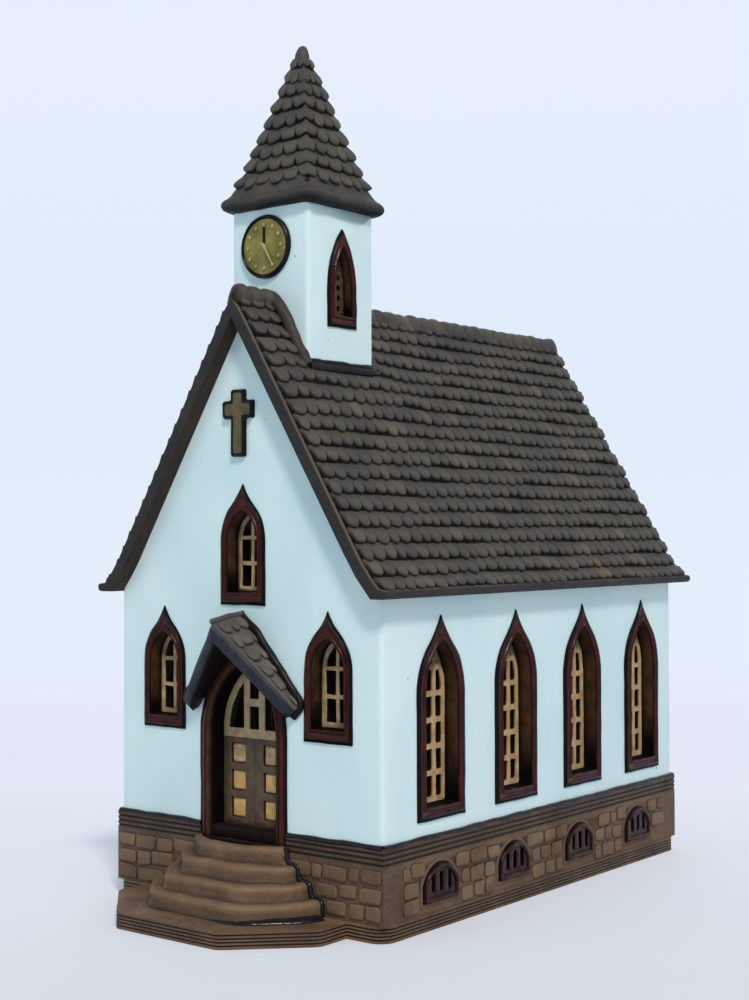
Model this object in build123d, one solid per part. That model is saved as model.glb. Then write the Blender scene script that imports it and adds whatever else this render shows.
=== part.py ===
from build123d import *
import math
import os

# A glazed ceramic church that holds a tealight, put together from luted clay pieces.
# Lengths are in millimetres and angles in degrees.
# +X is to the right of the front, +Y to the rear and +Z up.
# The origin lies on the ground, below the middle of the whole piece.

# House body
house_width = 100.0
house_depth = 161.0
wall_thickness = 7.0

# Base slab, with the platform that carries the steps
base_height = 4.6
base_proud = 1.2
base_corner_radius = 5.0
base_groove_count = 4
base_groove_depth = 0.6
base_groove_height = 0.5
platform_reach = 31.0
platform_half_width = 38.5
platform_front_half_width = 19.0
platform_side_depth = 12.0
platform_corner_radius = 4.0

# Plinth: a stone band with a grooved cap on it
band_height = 14.8
cap_height = 5.7
plinth_proud = 0.8
cap_groove_count = 3
cap_groove_depth = 0.6
cap_groove_height = 0.5

# Front steps
step_count = 4
steps_height = 17.2
top_step_reach = 7.5
step_tread = 4.5
top_step_half_width = 17.0
step_spread = 4.3
step_corner_radius = 3.0
step_nose_radius = 1.2
step_front_share = 0.56
step_side_share = 0.28

# Roof: two flared slabs that lean on the gables, with a ridge roll on top
roof_pitch = 58.5
roof_thickness = 5.0
roof_overhang = 5.0
flare_width = 8.0
flare_height = 9.96
flare_radius = 56.0
flare_turn = 14.0
eave_above_windows = 5.2
eave_nose_radius = 0.52
tile_course_count = 17
tile_lip = 1.2
ridge_roll_radius = 3.9
ridge_roll_drop = 3.4

# Tower and spire
tower_width = 29.6
tower_depth = 29.9
tower_wall = 5.0
tower_set_back = 11.4
tower_rise = 24.0
tower_light_hole = 13.0
rim_height = 5.0
rim_overhang = 3.2
rim_roll_radius = 2.2
spire_inset = 2.8
spire_height = 45.3
spire_wall = 4.0
spire_crown = 9.0
spire_tip_width = 2.4
spire_course_count = 10
spire_tile_lip = 0.7

# What all pierced windows share
frame_proud = 1.2
window_foot_band = 3.3
lattice_relief = 1.4
lattice_bar = 1.5
lattice_margin = 0.6
shoulder_width_share = 0.5
shoulder_height_share = 0.67

# Tall side windows
side_window_width = 22.5
side_window_height = 56.4
side_window_rise = 21.6
side_window_band = 3.2
side_window_point = 6.1
side_window_sill = 4.5
side_window_from_front = 26.3
side_window_from_rear = 21.0
side_window_count = 4
side_window_columns = 3
side_window_rows = 6
wall_lattice_set_back = 4.0

# Small front windows and the gable window
front_window_width = 17.0
front_window_height = 36.0
front_window_rise = 16.3
front_window_band = 2.3
front_window_point = 6.8
front_window_sill = 26.3
front_window_beside_canopy = 1.1
front_window_columns = 2
front_window_rows = 3
gable_window_height = 34.6
gable_window_above_canopy = 1.9

# Tower windows
tower_window_width = 13.2
tower_window_height = 29.2
tower_window_rise = 18.0
tower_window_band = 2.2
tower_window_point = 4.6
tower_window_drop = 5.7
tower_window_columns = 2
tower_window_rows = 6
tower_lattice_set_back = 2.4

# Cellar windows in the side plinths
cellar_width = 16.0
cellar_height = 10.4
cellar_rise = 5.6
cellar_sill = 3.0
cellar_from_front = 24.5
cellar_from_rear = 26.1
cellar_count = 4
cellar_niche = 2.0
cellar_plate = 2.6
cellar_slot_count = 3
cellar_slot_width = 1.7
cellar_slot_pitch = 3.8
cellar_slot_height = 5.4
cellar_slot_depth = 1.4

# Door
door_width = 24.8
door_height = 46.9
door_rise = 20.0
door_frame_band = 4.1
door_set_back = 4.5
door_leaf_height = 24.9
door_panel_width = 5.5
door_panel_height = 5.7
door_panel_gap = 2.1
door_panel_rows = 3
door_pocket_depth = 1.0
door_panel_thickness = 0.6
fanlight_margin = 2.2
fanlight_bar = 1.4
fanlight_centre_width = 4.4
fanlight_cross_bar_share = 0.46

# Canopy over the door
canopy_above_door = 14.3
canopy_pitch = 48.8
canopy_half_width = 21.8
canopy_thickness = 4.5
canopy_ridge_reach = 14.5
canopy_eave_reach = 7.5
canopy_droop = 8.0
canopy_course_count = 5
canopy_tile_lip = 1.0

# Cross on the gable
cross_place_share = 0.274
cross_height = 19.5
cross_span = 11.7
cross_bar = 5.4
cross_arm_foot = 10.9
cross_thickness = 1.4
cross_offset = -1.2
cross_corner_radius = 0.8

# Clock on the tower
clock_radius = 9.3
clock_rim_width = 1.2
clock_rim_thickness = 1.5
clock_dial_thickness = 1.0
clock_drop = 11.3
clock_offset = -1.0
clock_mark_count = 12
clock_mark_radius = 0.55
clock_mark_height = 0.4
clock_mark_circle = 6.4
clock_hub_radius = 1.0
clock_hand_width = 0.9
clock_hand_thickness = 0.6
minute_hand_length = 5.6
hour_hand_length = 4.6
hour_hand_angle = 150.0

# Opening in the rear for the tealight
candle_arch_width = 50.0
candle_arch_spring = 46.0

# Tealight
tealight_radius = 19.0
tealight_height = 15.5
tealight_wall = 0.4
tealight_from_rear = 73.0
tealight_clearance = 0.2
wax_height = 12.0
wax_clearance = 0.1
wick_radius = 0.8
wick_show = 5.0
wick_tab_radius = 6.0
wick_tab_thickness = 0.4

# Every cut runs this far past the face that it opens
overrun = 5.0

# Heights and places that follow from the sizes
wall_foot = base_height + band_height + cap_height
step_top = base_height + steps_height
half_house = house_width / 2
eave_level = wall_foot + side_window_sill + side_window_height + eave_above_windows
gable_apex = eave_level + flare_height + (half_house - flare_width) * math.tan(math.radians(roof_pitch))
ridge_top = gable_apex + roof_thickness / math.cos(math.radians(roof_pitch))
canopy_top = wall_foot + door_height + canopy_above_door
gable_window_foot = canopy_top + gable_window_above_canopy
gable_window_top = gable_window_foot + gable_window_height
cross_foot = gable_window_top + (gable_apex - gable_window_top - cross_height) * cross_place_share
front_face = (platform_reach - house_depth - roof_overhang) / 2
rear_face = front_face + house_depth
tower_front = front_face + tower_set_back
tower_middle = tower_front + tower_depth / 2
tower_top = ridge_top + tower_rise
rim_top = tower_top + rim_height
tealight_y = rear_face - tealight_from_rear

front_out = (0, -1, 0)
right_out = (1, 0, 0)
left_out = (-1, 0, 0)

parts = {}


def block(x_range, y_range, z_range):
    """Box between the given limits."""
    sizes = [high - low for low, high in (x_range, y_range, z_range)]
    middle = [(high + low) / 2 for low, high in (x_range, y_range, z_range)]
    return Pos(*middle) * Box(*sizes)


def wall_plane(outward, origin):
    """Plane on a wall face: its Z points out of the wall and its Y points up."""
    return Plane(origin=origin, x_dir=Vector(0, 0, 1).cross(Vector(*outward)), z_dir=outward)


def along_house(section, y_low, y_high):
    """Run an upright section of X and Z from one Y to another."""
    return Plane(origin=(0, y_high, 0), x_dir=(1, 0, 0), z_dir=front_out) * extrude(section, y_high - y_low)


def lancet(width, height, rise, inset=0, foot=None):
    """Pointed arch with its foot on the origin; inset draws every side in by the same amount."""
    half = width / 2
    radius = (half**2 + rise**2) / (2 * half)
    spring = height - rise
    tip = spring + math.sqrt((radius - inset) ** 2 - (radius - half) ** 2)
    side = half - inset
    low = inset if foot is None else foot
    return make_face(
        [
            Line((-side, low), (side, low)),
            Line((side, low), (side, spring)),
            TangentArc((side, spring), (0, tip), tangent=(0, 1)),
            TangentArc((-side, spring), (0, tip), tangent=(0, 1)),
            Line((-side, spring), (-side, low)),
        ]
    )


def ogee(width, height, rise):
    """Pointed arch whose tip is drawn out, as on the raised window frames."""
    half = width / 2
    spring = height - rise
    shoulder = (half * shoulder_width_share, spring + rise * shoulder_height_share)
    lower = TangentArc((half, spring), shoulder, tangent=(0, 1))
    upper = TangentArc(shoulder, (0, height), tangent=lower % 1)
    right_half = [Line((0, 0), (half, 0)), Line((half, 0), (half, spring)), lower, upper]
    return make_face(right_half + [mirror(edge, about=Plane.YZ) for edge in right_half])


def roof_line(outset):
    """Right-hand roof line, moved outwards: the slope, its flare and a straight run past the eave."""
    slope = math.radians(roof_pitch)
    out = Vector(math.sin(slope), math.cos(slope))
    down = Vector(math.cos(slope), -math.sin(slope))
    flare_x = half_house - flare_width
    flare_start = Vector(flare_x, gable_apex - flare_x * math.tan(slope)) + out * outset
    flare = JernArc(flare_start, down, flare_radius - outset, flare_turn)
    tail = Line(flare @ 1, flare @ 1 + (flare % 1) * flare_width)
    return [Line((0, gable_apex + outset / math.cos(slope)), flare_start), flare, tail]


def under_roof(outset):
    """Right half of the space below the roof line."""
    line = roof_line(outset)
    end = line[-1] @ 1
    apex = line[0] @ 0
    return make_face(line + [Line(end, (end.X, 0)), Line((end.X, 0), (0, 0)), Line((0, 0), apex)])


def lapped(line, run, count, drop):
    """Points along a line of lapped courses: each ends in a butt, and the next starts below it."""
    points = [line @ 0]
    for course in range(1, count + 1):
        butt = line.position_at(course * run / count, position_mode=PositionMode.LENGTH)
        points += [butt, butt - Vector(0, drop)]
    return points[:-1]


def under_tiles():
    """Right half of the space below the tiles, down to the ground."""
    slope, flare, tail = roof_line(roof_thickness)
    to_eave = (eave_level - (flare @ 1).Y) / (flare % 1).Y
    run = slope.length + flare.length + to_eave
    drop = tile_lip / math.cos(math.radians(roof_pitch))
    points = lapped(Wire([slope, flare, tail]), run, tile_course_count, drop)
    return make_face(Polyline(*points, (points[-1].X, 0), (0, 0), close=True))


def both_sides(section):
    """An upright section and its mirror image."""
    return section + mirror(section, about=Plane.YZ)


def grooves(low, height, count, groove_height):
    """Heights at which a moulding of even rounds is grooved."""
    pitch = height / (count + 1)
    return [low + pitch * (i + 1) - groove_height / 2 for i in range(count)]


def base_outline(inset=0):
    """Plan of the base slab and its platform, seen from above."""
    side = half_house + base_proud - inset
    front = front_face - base_proud + inset
    rear = rear_face + base_proud - inset
    middle = (front + rear) / 2
    slab = Pos(0, middle) * RectangleRounded(2 * side, rear - front, base_corner_radius)
    half = platform_half_width - inset
    front_half = platform_front_half_width - inset
    reach = front_face - platform_reach + inset
    corner = front_face - platform_side_depth
    platform = make_face(
        Polyline(
            (-half, middle),
            (-half, corner),
            (-front_half, reach),
            (front_half, reach),
            (half, corner),
            (half, middle),
            close=True,
        )
    )
    outer = platform.vertices().filter_by(lambda vertex: vertex.Y < front_face)
    return slab + fillet(outer, platform_corner_radius)


def make_base():
    """Floor slab with a moulded edge."""
    slab = extrude(base_outline(), base_height)
    for low in grooves(0, base_height, base_groove_count, base_groove_height):
        ring = base_outline() - base_outline(base_groove_depth)
        slab -= Pos(0, 0, low) * extrude(ring, base_groove_height)
    parts["base_slab"] = slab


def along_side(from_front, from_rear, count):
    """Evenly spread places along a side wall."""
    spacing = (house_depth - from_front - from_rear) / (count - 1)
    return [front_face + from_front + index * spacing for index in range(count)]


def cellar_face():
    """Segment-headed outline of a cellar window."""
    half = cellar_width / 2
    spring = cellar_height - cellar_rise
    return make_face(
        [
            Line((-half, 0), (half, 0)),
            Line((half, 0), (half, spring)),
            ThreePointArc((half, spring), (0, cellar_height), (-half, spring)),
            Line((-half, spring), (-half, 0)),
        ]
    )


def make_plinth():
    """Plinth walls with their grooved caps, the door notch and the cellar windows."""
    outer = half_house + plinth_proud
    inner = half_house - wall_thickness
    front = front_face - plinth_proud
    rear = rear_face + plinth_proud
    front_inner = front_face + wall_thickness
    rear_inner = rear_face - wall_thickness
    upright = (base_height, wall_foot)
    door_half = door_width / 2
    frame_half = door_half + door_frame_band
    walls = {
        "plinth_front": block((-outer, outer), (front, front_inner), upright),
        "plinth_left": block((-outer, -inner), (front_inner, rear_inner), upright),
        "plinth_right": block((inner, outer), (front_inner, rear_inner), upright),
        "plinth_rear_left": block((-outer, -candle_arch_width / 2), (rear_inner, rear), upright),
        "plinth_rear_right": block((candle_arch_width / 2, outer), (rear_inner, rear), upright),
    }
    high = (step_top, wall_foot + overrun)
    walls["plinth_front"] -= block((-frame_half, frame_half), (front - overrun, front_face), high)
    walls["plinth_front"] -= block((-door_half, door_half), (front - overrun, front_face + door_set_back), high)
    cap_foot = base_height + band_height
    core_x = outer - cap_groove_depth
    core_y = (front + cap_groove_depth, rear - cap_groove_depth)
    for low in grooves(cap_foot, cap_height, cap_groove_count, cap_groove_height):
        level = (low, low + cap_groove_height)
        ring = block((-outer - overrun, outer + overrun), (front - overrun, rear + overrun), level)
        ring -= block((-core_x, core_x), core_y, level)
        for name in walls:
            walls[name] -= ring
    for side, outward in (("left", left_out), ("right", right_out)):
        plates = []
        for place in along_side(cellar_from_front, cellar_from_rear, cellar_count):
            plane = wall_plane(outward, (outward[0] * outer, place, base_height + cellar_sill))
            walls["plinth_" + side] -= plane * extrude(cellar_face(), -cellar_niche)
            plate = plane * Pos(0, 0, -cellar_niche) * extrude(cellar_face(), cellar_plate)
            slot_face = Pos(0, cellar_height / 2) * SlotOverall(cellar_slot_height, cellar_slot_width, rotation=90)
            for slot in range(cellar_slot_count):
                shift = (slot - (cellar_slot_count - 1) / 2) * cellar_slot_pitch
                cut = Pos(shift, 0, cellar_plate - cellar_niche) * extrude(slot_face, -cellar_slot_depth)
                plate -= plane * cut
            plates.append(plate)
        parts["cellar_windows_" + side] = Compound(children=plates)
    parts.update(walls)


def make_steps():
    """Four worn steps as one stack, each tier with a rounded nose."""
    rise = steps_height / step_count
    back = front_face - plinth_proud
    stack = None
    for tier in range(step_count):
        half = top_step_half_width + tier * step_spread
        reach = top_step_reach + tier * step_tread
        front_half = half * step_front_share
        corner = reach * step_side_share
        outline = make_face(
            Polyline((-half, 0), (-half, -corner), (-front_half, -reach), (front_half, -reach),
                     (half, -corner), (half, 0), close=True)
        )
        outline = fillet(outline.vertices().filter_by(lambda vertex: vertex.Y < -corner / 2), step_corner_radius)
        step = extrude(outline, rise)
        top_edges = step.edges().filter_by(lambda edge: edge.center().Z > rise - step_nose_radius)
        step = fillet(top_edges.filter_by(lambda edge: edge.center().Y < -corner / 4), step_nose_radius)
        step = Pos(0, back, base_height + (step_count - 1 - tier) * rise) * step
        stack = step if stack is None else stack + step
    parts["front_steps"] = stack


class Window:
    """One pointed window: a raised frame on the wall and a pierced lattice behind it."""

    def __init__(self, width, height, rise, band, point, columns, rows):
        self.frame_face = ogee(width, height, rise)
        self.width = width - 2 * band
        self.height = height - window_foot_band - point
        self.rise = rise - point
        self.columns = columns
        self.rows = rows

    def opening(self, inset=0):
        return Pos(0, window_foot_band) * lancet(self.width, self.height, self.rise, inset)

    def holes(self):
        """Openings between the lattice bars."""
        field = self.opening(lattice_margin).bounding_box()
        holes = self.opening(lattice_margin + lattice_bar)
        column_pitch = (field.size.X - lattice_bar) / self.columns
        row_pitch = (field.size.Y - lattice_bar) / self.rows
        for column in range(1, self.columns):
            x = field.min.X + lattice_bar / 2 + column * column_pitch
            holes -= Pos(x, field.center().Y) * Rectangle(lattice_bar, field.size.Y)
        for row in range(1, self.rows):
            y = field.min.Y + lattice_bar / 2 + row * row_pitch
            holes -= Pos(0, y) * Rectangle(field.size.X, lattice_bar)
        return holes

    def frame(self, plane):
        return plane * extrude(self.frame_face - self.opening(), frame_proud)

    def cut(self, plane, wall):
        return plane * extrude(self.opening(), -wall)

    def lattice(self, plane, wall, set_back):
        """Panel at the inner face of the wall, with its bars standing up from a thinner sheet."""
        holes = self.holes()
        sheet = wall - set_back - lattice_relief
        panel = extrude(self.opening() - holes, sheet)
        panel += Pos(0, 0, sheet) * extrude(self.opening(lattice_margin) - holes, lattice_relief)
        return plane * Pos(0, 0, -wall) * panel


def make_walls():
    """Four walls under the roof line, their windows and the rear arch."""
    side_window = Window(side_window_width, side_window_height, side_window_rise, side_window_band,
                         side_window_point, side_window_columns, side_window_rows)
    front_window = Window(front_window_width, front_window_height, front_window_rise, front_window_band,
                          front_window_point, front_window_columns, front_window_rows)
    gable_window = Window(front_window_width, gable_window_height, front_window_rise, front_window_band,
                          front_window_point, front_window_columns, front_window_rows)
    inner = half_house - wall_thickness
    front_inner = front_face + wall_thickness
    rear_inner = rear_face - wall_thickness
    upright = (wall_foot, gable_apex)
    room = along_house(both_sides(under_roof(0)), front_face, rear_face)
    front = block((-half_house, half_house), (front_face, front_inner), upright) & room
    rear = block((-half_house, half_house), (rear_inner, rear_face), upright) & room
    door_plane = wall_plane(front_out, (0, front_face, wall_foot))
    front -= door_plane * extrude(lancet(door_width, door_height, door_rise), -wall_thickness)
    front_offset = canopy_half_width + front_window_beside_canopy + front_window_width / 2
    places = {
        "front_left": (front_window, -front_offset, wall_foot + front_window_sill),
        "front_right": (front_window, front_offset, wall_foot + front_window_sill),
        "gable": (gable_window, 0, gable_window_foot),
    }
    front_lattices = []
    for name, (window, x, foot) in places.items():
        plane = wall_plane(front_out, (x, front_face, foot))
        front -= window.cut(plane, wall_thickness)
        parts["window_frame_" + name] = window.frame(plane)
        front_lattices.append(window.lattice(plane, wall_thickness, wall_lattice_set_back))
    parts["front_lattices"] = Compound(children=front_lattices)
    parts["wall_front"] = front
    arch_half = candle_arch_width / 2
    spring = base_height + candle_arch_spring
    through = (rear_inner - overrun, rear_face + overrun)
    rear -= block((-arch_half, arch_half), through, (0, spring))
    rear -= along_house(Pos(0, spring) * Circle(arch_half), *through)
    parts["wall_rear"] = rear
    for side, outward in (("left", left_out), ("right", right_out)):
        x_range = sorted((outward[0] * inner, outward[0] * half_house))
        wall = block(x_range, (front_inner, rear_inner), upright) & room
        lattices = []
        places = along_side(side_window_from_front, side_window_from_rear, side_window_count)
        for number, place in enumerate(places, start=1):
            plane = wall_plane(outward, (outward[0] * half_house, place, wall_foot + side_window_sill))
            wall -= side_window.cut(plane, wall_thickness)
            parts[f"window_frame_{side}_{number}"] = side_window.frame(plane)
            lattices.append(side_window.lattice(plane, wall_thickness, wall_lattice_set_back))
        parts["lattices_" + side] = Compound(children=lattices)
        parts["wall_" + side] = wall


def make_roof():
    """Two roof slabs that meet along the ridge, and the ridge roll before and behind the tower."""
    section = under_tiles() - under_roof(0)
    section -= Pos(0, eave_level / 2) * Rectangle(2 * house_width, eave_level)
    nose = section.vertices().sort_by(Axis.X)[-1]
    section = fillet(nose, eave_nose_radius)
    y_range = (front_face - roof_overhang, rear_face + roof_overhang)
    slab = along_house(section, *y_range)
    half_hole = tower_light_hole / 2
    hole_y = (tower_middle - half_hole, tower_middle + half_hole)
    slab -= block((-half_hole, half_hole), hole_y, (eave_level, ridge_top + overrun))
    parts["roof_right"] = slab
    parts["roof_left"] = mirror(slab, about=Plane.YZ)
    roll = Pos(0, ridge_top - ridge_roll_drop) * Circle(ridge_roll_radius) - both_sides(under_tiles())
    parts["ridge_front"] = along_house(roll, y_range[0], tower_front)
    parts["ridge_rear"] = along_house(roll, tower_front + tower_depth, y_range[1])


def make_tower():
    """Square tower that stands astride the ridge, with its windows."""
    half = tower_width / 2
    y_range = (tower_front, tower_front + tower_depth)
    inner_y = (tower_front + tower_wall, tower_front + tower_depth - tower_wall)
    shell = block((-half, half), y_range, (eave_level, tower_top))
    shell -= block((tower_wall - half, half - tower_wall), inner_y, (eave_level, tower_top + overrun))
    shell -= along_house(both_sides(under_tiles()), *y_range)
    window = Window(tower_window_width, tower_window_height, tower_window_rise, tower_window_band,
                    tower_window_point, tower_window_columns, tower_window_rows)
    foot = tower_top - tower_window_drop - tower_window_height
    lattices = []
    for side, outward in (("left", left_out), ("right", right_out)):
        plane = wall_plane(outward, (outward[0] * half, tower_middle, foot))
        shell -= window.cut(plane, tower_wall)
        parts["window_frame_tower_" + side] = window.frame(plane)
        lattices.append(window.lattice(plane, tower_wall, tower_lattice_set_back))
    parts["tower_lattices"] = Compound(children=lattices)
    parts["tower"] = shell


def make_spire():
    """Rolled rim on the tower and a hollow spire of lapped courses on the rim."""
    rim_x = tower_width + 2 * rim_overhang
    rim_y = tower_depth + 2 * rim_overhang
    hollow_x = tower_width - 2 * tower_wall
    hollow_y = tower_depth - 2 * tower_wall
    rim = Pos(0, tower_middle, tower_top + rim_height / 2) * Box(rim_x, rim_y, rim_height)
    rim = fillet(rim.edges(), rim_roll_radius)
    hollow_z = (tower_top - overrun, rim_top + overrun)
    half_y = hollow_y / 2
    rim -= block((-hollow_x / 2, hollow_x / 2), (tower_middle - half_y, tower_middle + half_y), hollow_z)
    parts["spire_rim"] = rim
    foot_x = rim_x - 2 * spire_inset
    foot_y = rim_y - 2 * spire_inset

    def plan(level, inset):
        taper = level / spire_height
        size_x = foot_x + (spire_tip_width - foot_x) * taper - 2 * inset
        size_y = foot_y + (spire_tip_width - foot_y) * taper - 2 * inset
        return Pos(0, 0, level) * Rectangle(size_x, size_y)

    spire = Part()
    course_height = spire_height / spire_course_count
    for course in range(spire_course_count):
        low = course * course_height
        spire += loft([plan(low, 0), plan(low + course_height, spire_tile_lip)])
    cavity_tip = Rectangle(spire_tip_width, spire_tip_width)
    spire -= loft([plan(0, spire_wall), Pos(0, 0, spire_height - spire_crown) * cavity_tip])
    parts["spire"] = Pos(0, tower_middle, rim_top) * spire


def make_clock():
    """Clock face on the tower front: dial with hour marks, rim and two hands."""
    plane = wall_plane(front_out, (clock_offset, tower_front, tower_top - clock_drop))
    dial_radius = clock_radius - clock_rim_width
    dial = extrude(Circle(dial_radius), clock_dial_thickness)
    mark = Pos(0, clock_mark_circle, clock_dial_thickness) * extrude(Circle(clock_mark_radius), clock_mark_height)
    for index in range(clock_mark_count):
        dial += Rot(0, 0, index * 360 / clock_mark_count) * mark
    parts["clock_dial"] = plane * dial
    parts["clock_rim"] = plane * extrude(Circle(clock_radius) - Circle(dial_radius), clock_rim_thickness)
    hand_plane = plane * Pos(0, 0, clock_dial_thickness)
    hub = Circle(clock_hub_radius)
    hour = Rot(0, 0, -hour_hand_angle) * (Pos(0, hour_hand_length / 2) * Rectangle(clock_hand_width, hour_hand_length))
    minute = Pos(0, minute_hand_length / 2) * Rectangle(clock_hand_width, minute_hand_length)
    parts["clock_hour_hand"] = hand_plane * extrude(hub + hour, clock_hand_thickness)
    parts["clock_minute_hand"] = hand_plane * extrude(minute - hub, clock_hand_thickness)


def make_cross():
    """Plain cross luted to the gable."""
    plane = wall_plane(front_out, (cross_offset, front_face, cross_foot))
    face = Pos(0, cross_height / 2) * Rectangle(cross_bar, cross_height)
    face += Pos(0, cross_arm_foot + cross_bar / 2) * Rectangle(cross_span, cross_bar)
    face = fillet(face.vertices(), cross_corner_radius)
    parts["cross"] = plane * extrude(face, cross_thickness)


def make_canopy():
    """Gabled hood over the door: two slabs mitred at the ridge and cut back towards the eaves."""
    slope = math.radians(canopy_pitch)
    run = canopy_half_width / math.cos(slope)
    slab_plane = Plane(
        origin=(0, 0, 0),
        x_dir=(math.cos(slope), 0, -math.sin(slope)),
        z_dir=(math.sin(slope), 0, math.cos(slope)),
    )
    outline = make_face(Polyline((0, 0), (run, 0), (run, -canopy_eave_reach), (0, -canopy_ridge_reach), close=True))
    eave = lapped(Line((0, 0), (run, 0)), run, canopy_course_count, canopy_tile_lip)
    section = make_face(Polyline(*eave, (run, -canopy_thickness), (0, -canopy_thickness), close=True))
    courses = Plane(origin=(0, 0, 0), x_dir=(1, 0, 0), z_dir=front_out) * extrude(section, canopy_ridge_reach)
    slab = slab_plane * (extrude(outline, -canopy_thickness) & courses)
    slab -= block((-house_width, 0), (-house_width, house_width), (-house_width, house_width))
    slab = Pos(0, front_face, canopy_top) * Rot(canopy_droop, 0, 0) * slab
    slab -= block((-house_width, house_width), (front_face, rear_face), (0, tower_top))
    parts["canopy_right"] = slab
    parts["canopy_left"] = mirror(slab, about=Plane.YZ)


def make_door():
    """Arched frame, sill, two panelled leaves and a pierced fanlight."""

    def below(level):
        return Pos(0, level - door_height) * Rectangle(2 * door_width, 2 * door_height)

    plane = wall_plane(front_out, (0, front_face, wall_foot))
    jamb_foot = step_top - wall_foot
    ring = lancet(door_width, door_height, door_rise, -door_frame_band, jamb_foot)
    ring -= lancet(door_width, door_height, door_rise, 0, jamb_foot)
    frame = plane * extrude(ring, frame_proud)
    parts["door_frame"] = frame - parts["canopy_left"] - parts["canopy_right"]
    half = door_width / 2
    sill_y = (front_face - plinth_proud, front_face + door_set_back)
    parts["door_sill"] = block((-half, half), sill_y, (step_top, wall_foot))
    leaf_y = (front_face + door_set_back, front_face + wall_thickness)
    leaf_z = (wall_foot, wall_foot + door_leaf_height)
    stack = door_panel_rows * door_panel_height + (door_panel_rows - 1) * door_panel_gap
    panels = []
    for name, sign in (("left", -1), ("right", 1)):
        leaf = block(sorted((0, sign * half)), leaf_y, leaf_z)
        for row in range(door_panel_rows):
            x = sign * half / 2
            low = wall_foot + (door_leaf_height - stack) / 2 + row * (door_panel_height + door_panel_gap)
            x_range = (x - door_panel_width / 2, x + door_panel_width / 2)
            z_range = (low, low + door_panel_height)
            pocket_floor = leaf_y[0] + door_pocket_depth
            leaf -= block(x_range, (leaf_y[0], pocket_floor), z_range)
            panels.append(block(x_range, (pocket_floor - door_panel_thickness, pocket_floor), z_range))
        parts["door_leaf_" + name] = leaf
    parts["door_panels"] = Compound(children=panels)
    light = lancet(door_width, door_height, door_rise) - below(door_leaf_height)
    holes = lancet(door_width, door_height, door_rise, fanlight_margin) - below(door_leaf_height + fanlight_margin)
    box = holes.bounding_box()
    for sign in (-1, 1):
        x = sign * (fanlight_centre_width + fanlight_bar) / 2
        holes -= Pos(x, box.center().Y) * Rectangle(fanlight_bar, box.size.Y)
    cross_y = box.min.Y + box.size.Y * fanlight_cross_bar_share
    holes -= Pos(0, cross_y) * Rectangle(fanlight_centre_width, fanlight_bar)
    leaf_thickness = wall_thickness - door_set_back
    parts["fanlight"] = plane * Pos(0, 0, -wall_thickness) * extrude(light - holes, leaf_thickness)


def make_tealight():
    """Tealight that stands on the floor: metal cup, wax, wick and its tab."""
    floor = base_height + tealight_clearance
    place = Pos(0, tealight_y, floor)
    cup = extrude(Circle(tealight_radius), tealight_height)
    cup -= Pos(0, 0, tealight_wall) * extrude(Circle(tealight_radius - tealight_wall), tealight_height)
    parts["tealight_cup"] = place * cup
    on_floor = place * Pos(0, 0, tealight_wall)
    tab = extrude(Circle(wick_tab_radius), wick_tab_thickness)
    parts["tealight_wick_tab"] = on_floor * tab
    wax = extrude(Circle(tealight_radius - tealight_wall - wax_clearance), wax_height)
    wax -= extrude(Circle(wick_tab_radius), wick_tab_thickness)
    wax -= extrude(Circle(wick_radius), wax_height)
    parts["tealight_wax"] = on_floor * wax
    wick = extrude(Circle(wick_radius), wax_height + wick_show - wick_tab_thickness)
    parts["tealight_wick"] = on_floor * Pos(0, 0, wick_tab_thickness) * wick


make_base()
make_plinth()
make_steps()
make_walls()
make_roof()
make_tower()
make_spire()
make_clock()
make_cross()
make_canopy()
make_door()
make_tealight()

os.makedirs("parts", exist_ok=True)
for node, shape in parts.items():
    export_step(shape, f"parts/{node}.step")
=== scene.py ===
import math
import random

import bmesh
import bpy
from mathutils import Matrix, Vector, noise


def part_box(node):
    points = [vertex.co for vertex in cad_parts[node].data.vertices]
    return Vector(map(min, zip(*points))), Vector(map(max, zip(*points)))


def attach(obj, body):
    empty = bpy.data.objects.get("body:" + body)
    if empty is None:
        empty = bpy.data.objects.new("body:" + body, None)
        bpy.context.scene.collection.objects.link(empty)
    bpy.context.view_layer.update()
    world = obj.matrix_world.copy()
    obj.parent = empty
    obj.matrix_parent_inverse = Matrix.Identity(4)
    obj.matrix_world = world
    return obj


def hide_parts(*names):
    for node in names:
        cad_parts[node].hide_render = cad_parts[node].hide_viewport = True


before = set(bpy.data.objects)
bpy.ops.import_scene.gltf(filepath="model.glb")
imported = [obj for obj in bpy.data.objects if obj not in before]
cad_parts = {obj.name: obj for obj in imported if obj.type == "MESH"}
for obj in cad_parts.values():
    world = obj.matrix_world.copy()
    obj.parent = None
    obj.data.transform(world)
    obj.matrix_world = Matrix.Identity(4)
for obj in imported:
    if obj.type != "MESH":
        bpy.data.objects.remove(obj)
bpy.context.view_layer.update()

# Looks of a glazed ceramic church that holds a tealight.
# Meshes are modelled in millimetres and become metres when they are made pieces.
MM = 0.001
UP = Vector((0, 0, 1))
potter = random.Random(11)
noise.seed_set(11)


def node_box(node):
    """Lowest and highest corner of a node, in millimetres."""
    low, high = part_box(node)
    return Vector(low) / MM, Vector(high) / MM


# Levels and faces of the house, read from the frame
wall_low, wall_high = node_box("wall_front")
roof_low, roof_high = node_box("roof_right")
tower_low, tower_high = node_box("tower")
rim_low, rim_high = node_box("spire_rim")
spire_high = node_box("spire")[1]
band_low = node_box("plinth_front")[0]
half_house = wall_high.x
front_face = wall_low.y
rear_face = node_box("wall_rear")[1].y
wall_foot = wall_low.z
eave_level = roof_low.z
gable_apex = wall_high.z
tower_middle = (tower_low.y + tower_high.y) / 2

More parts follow.
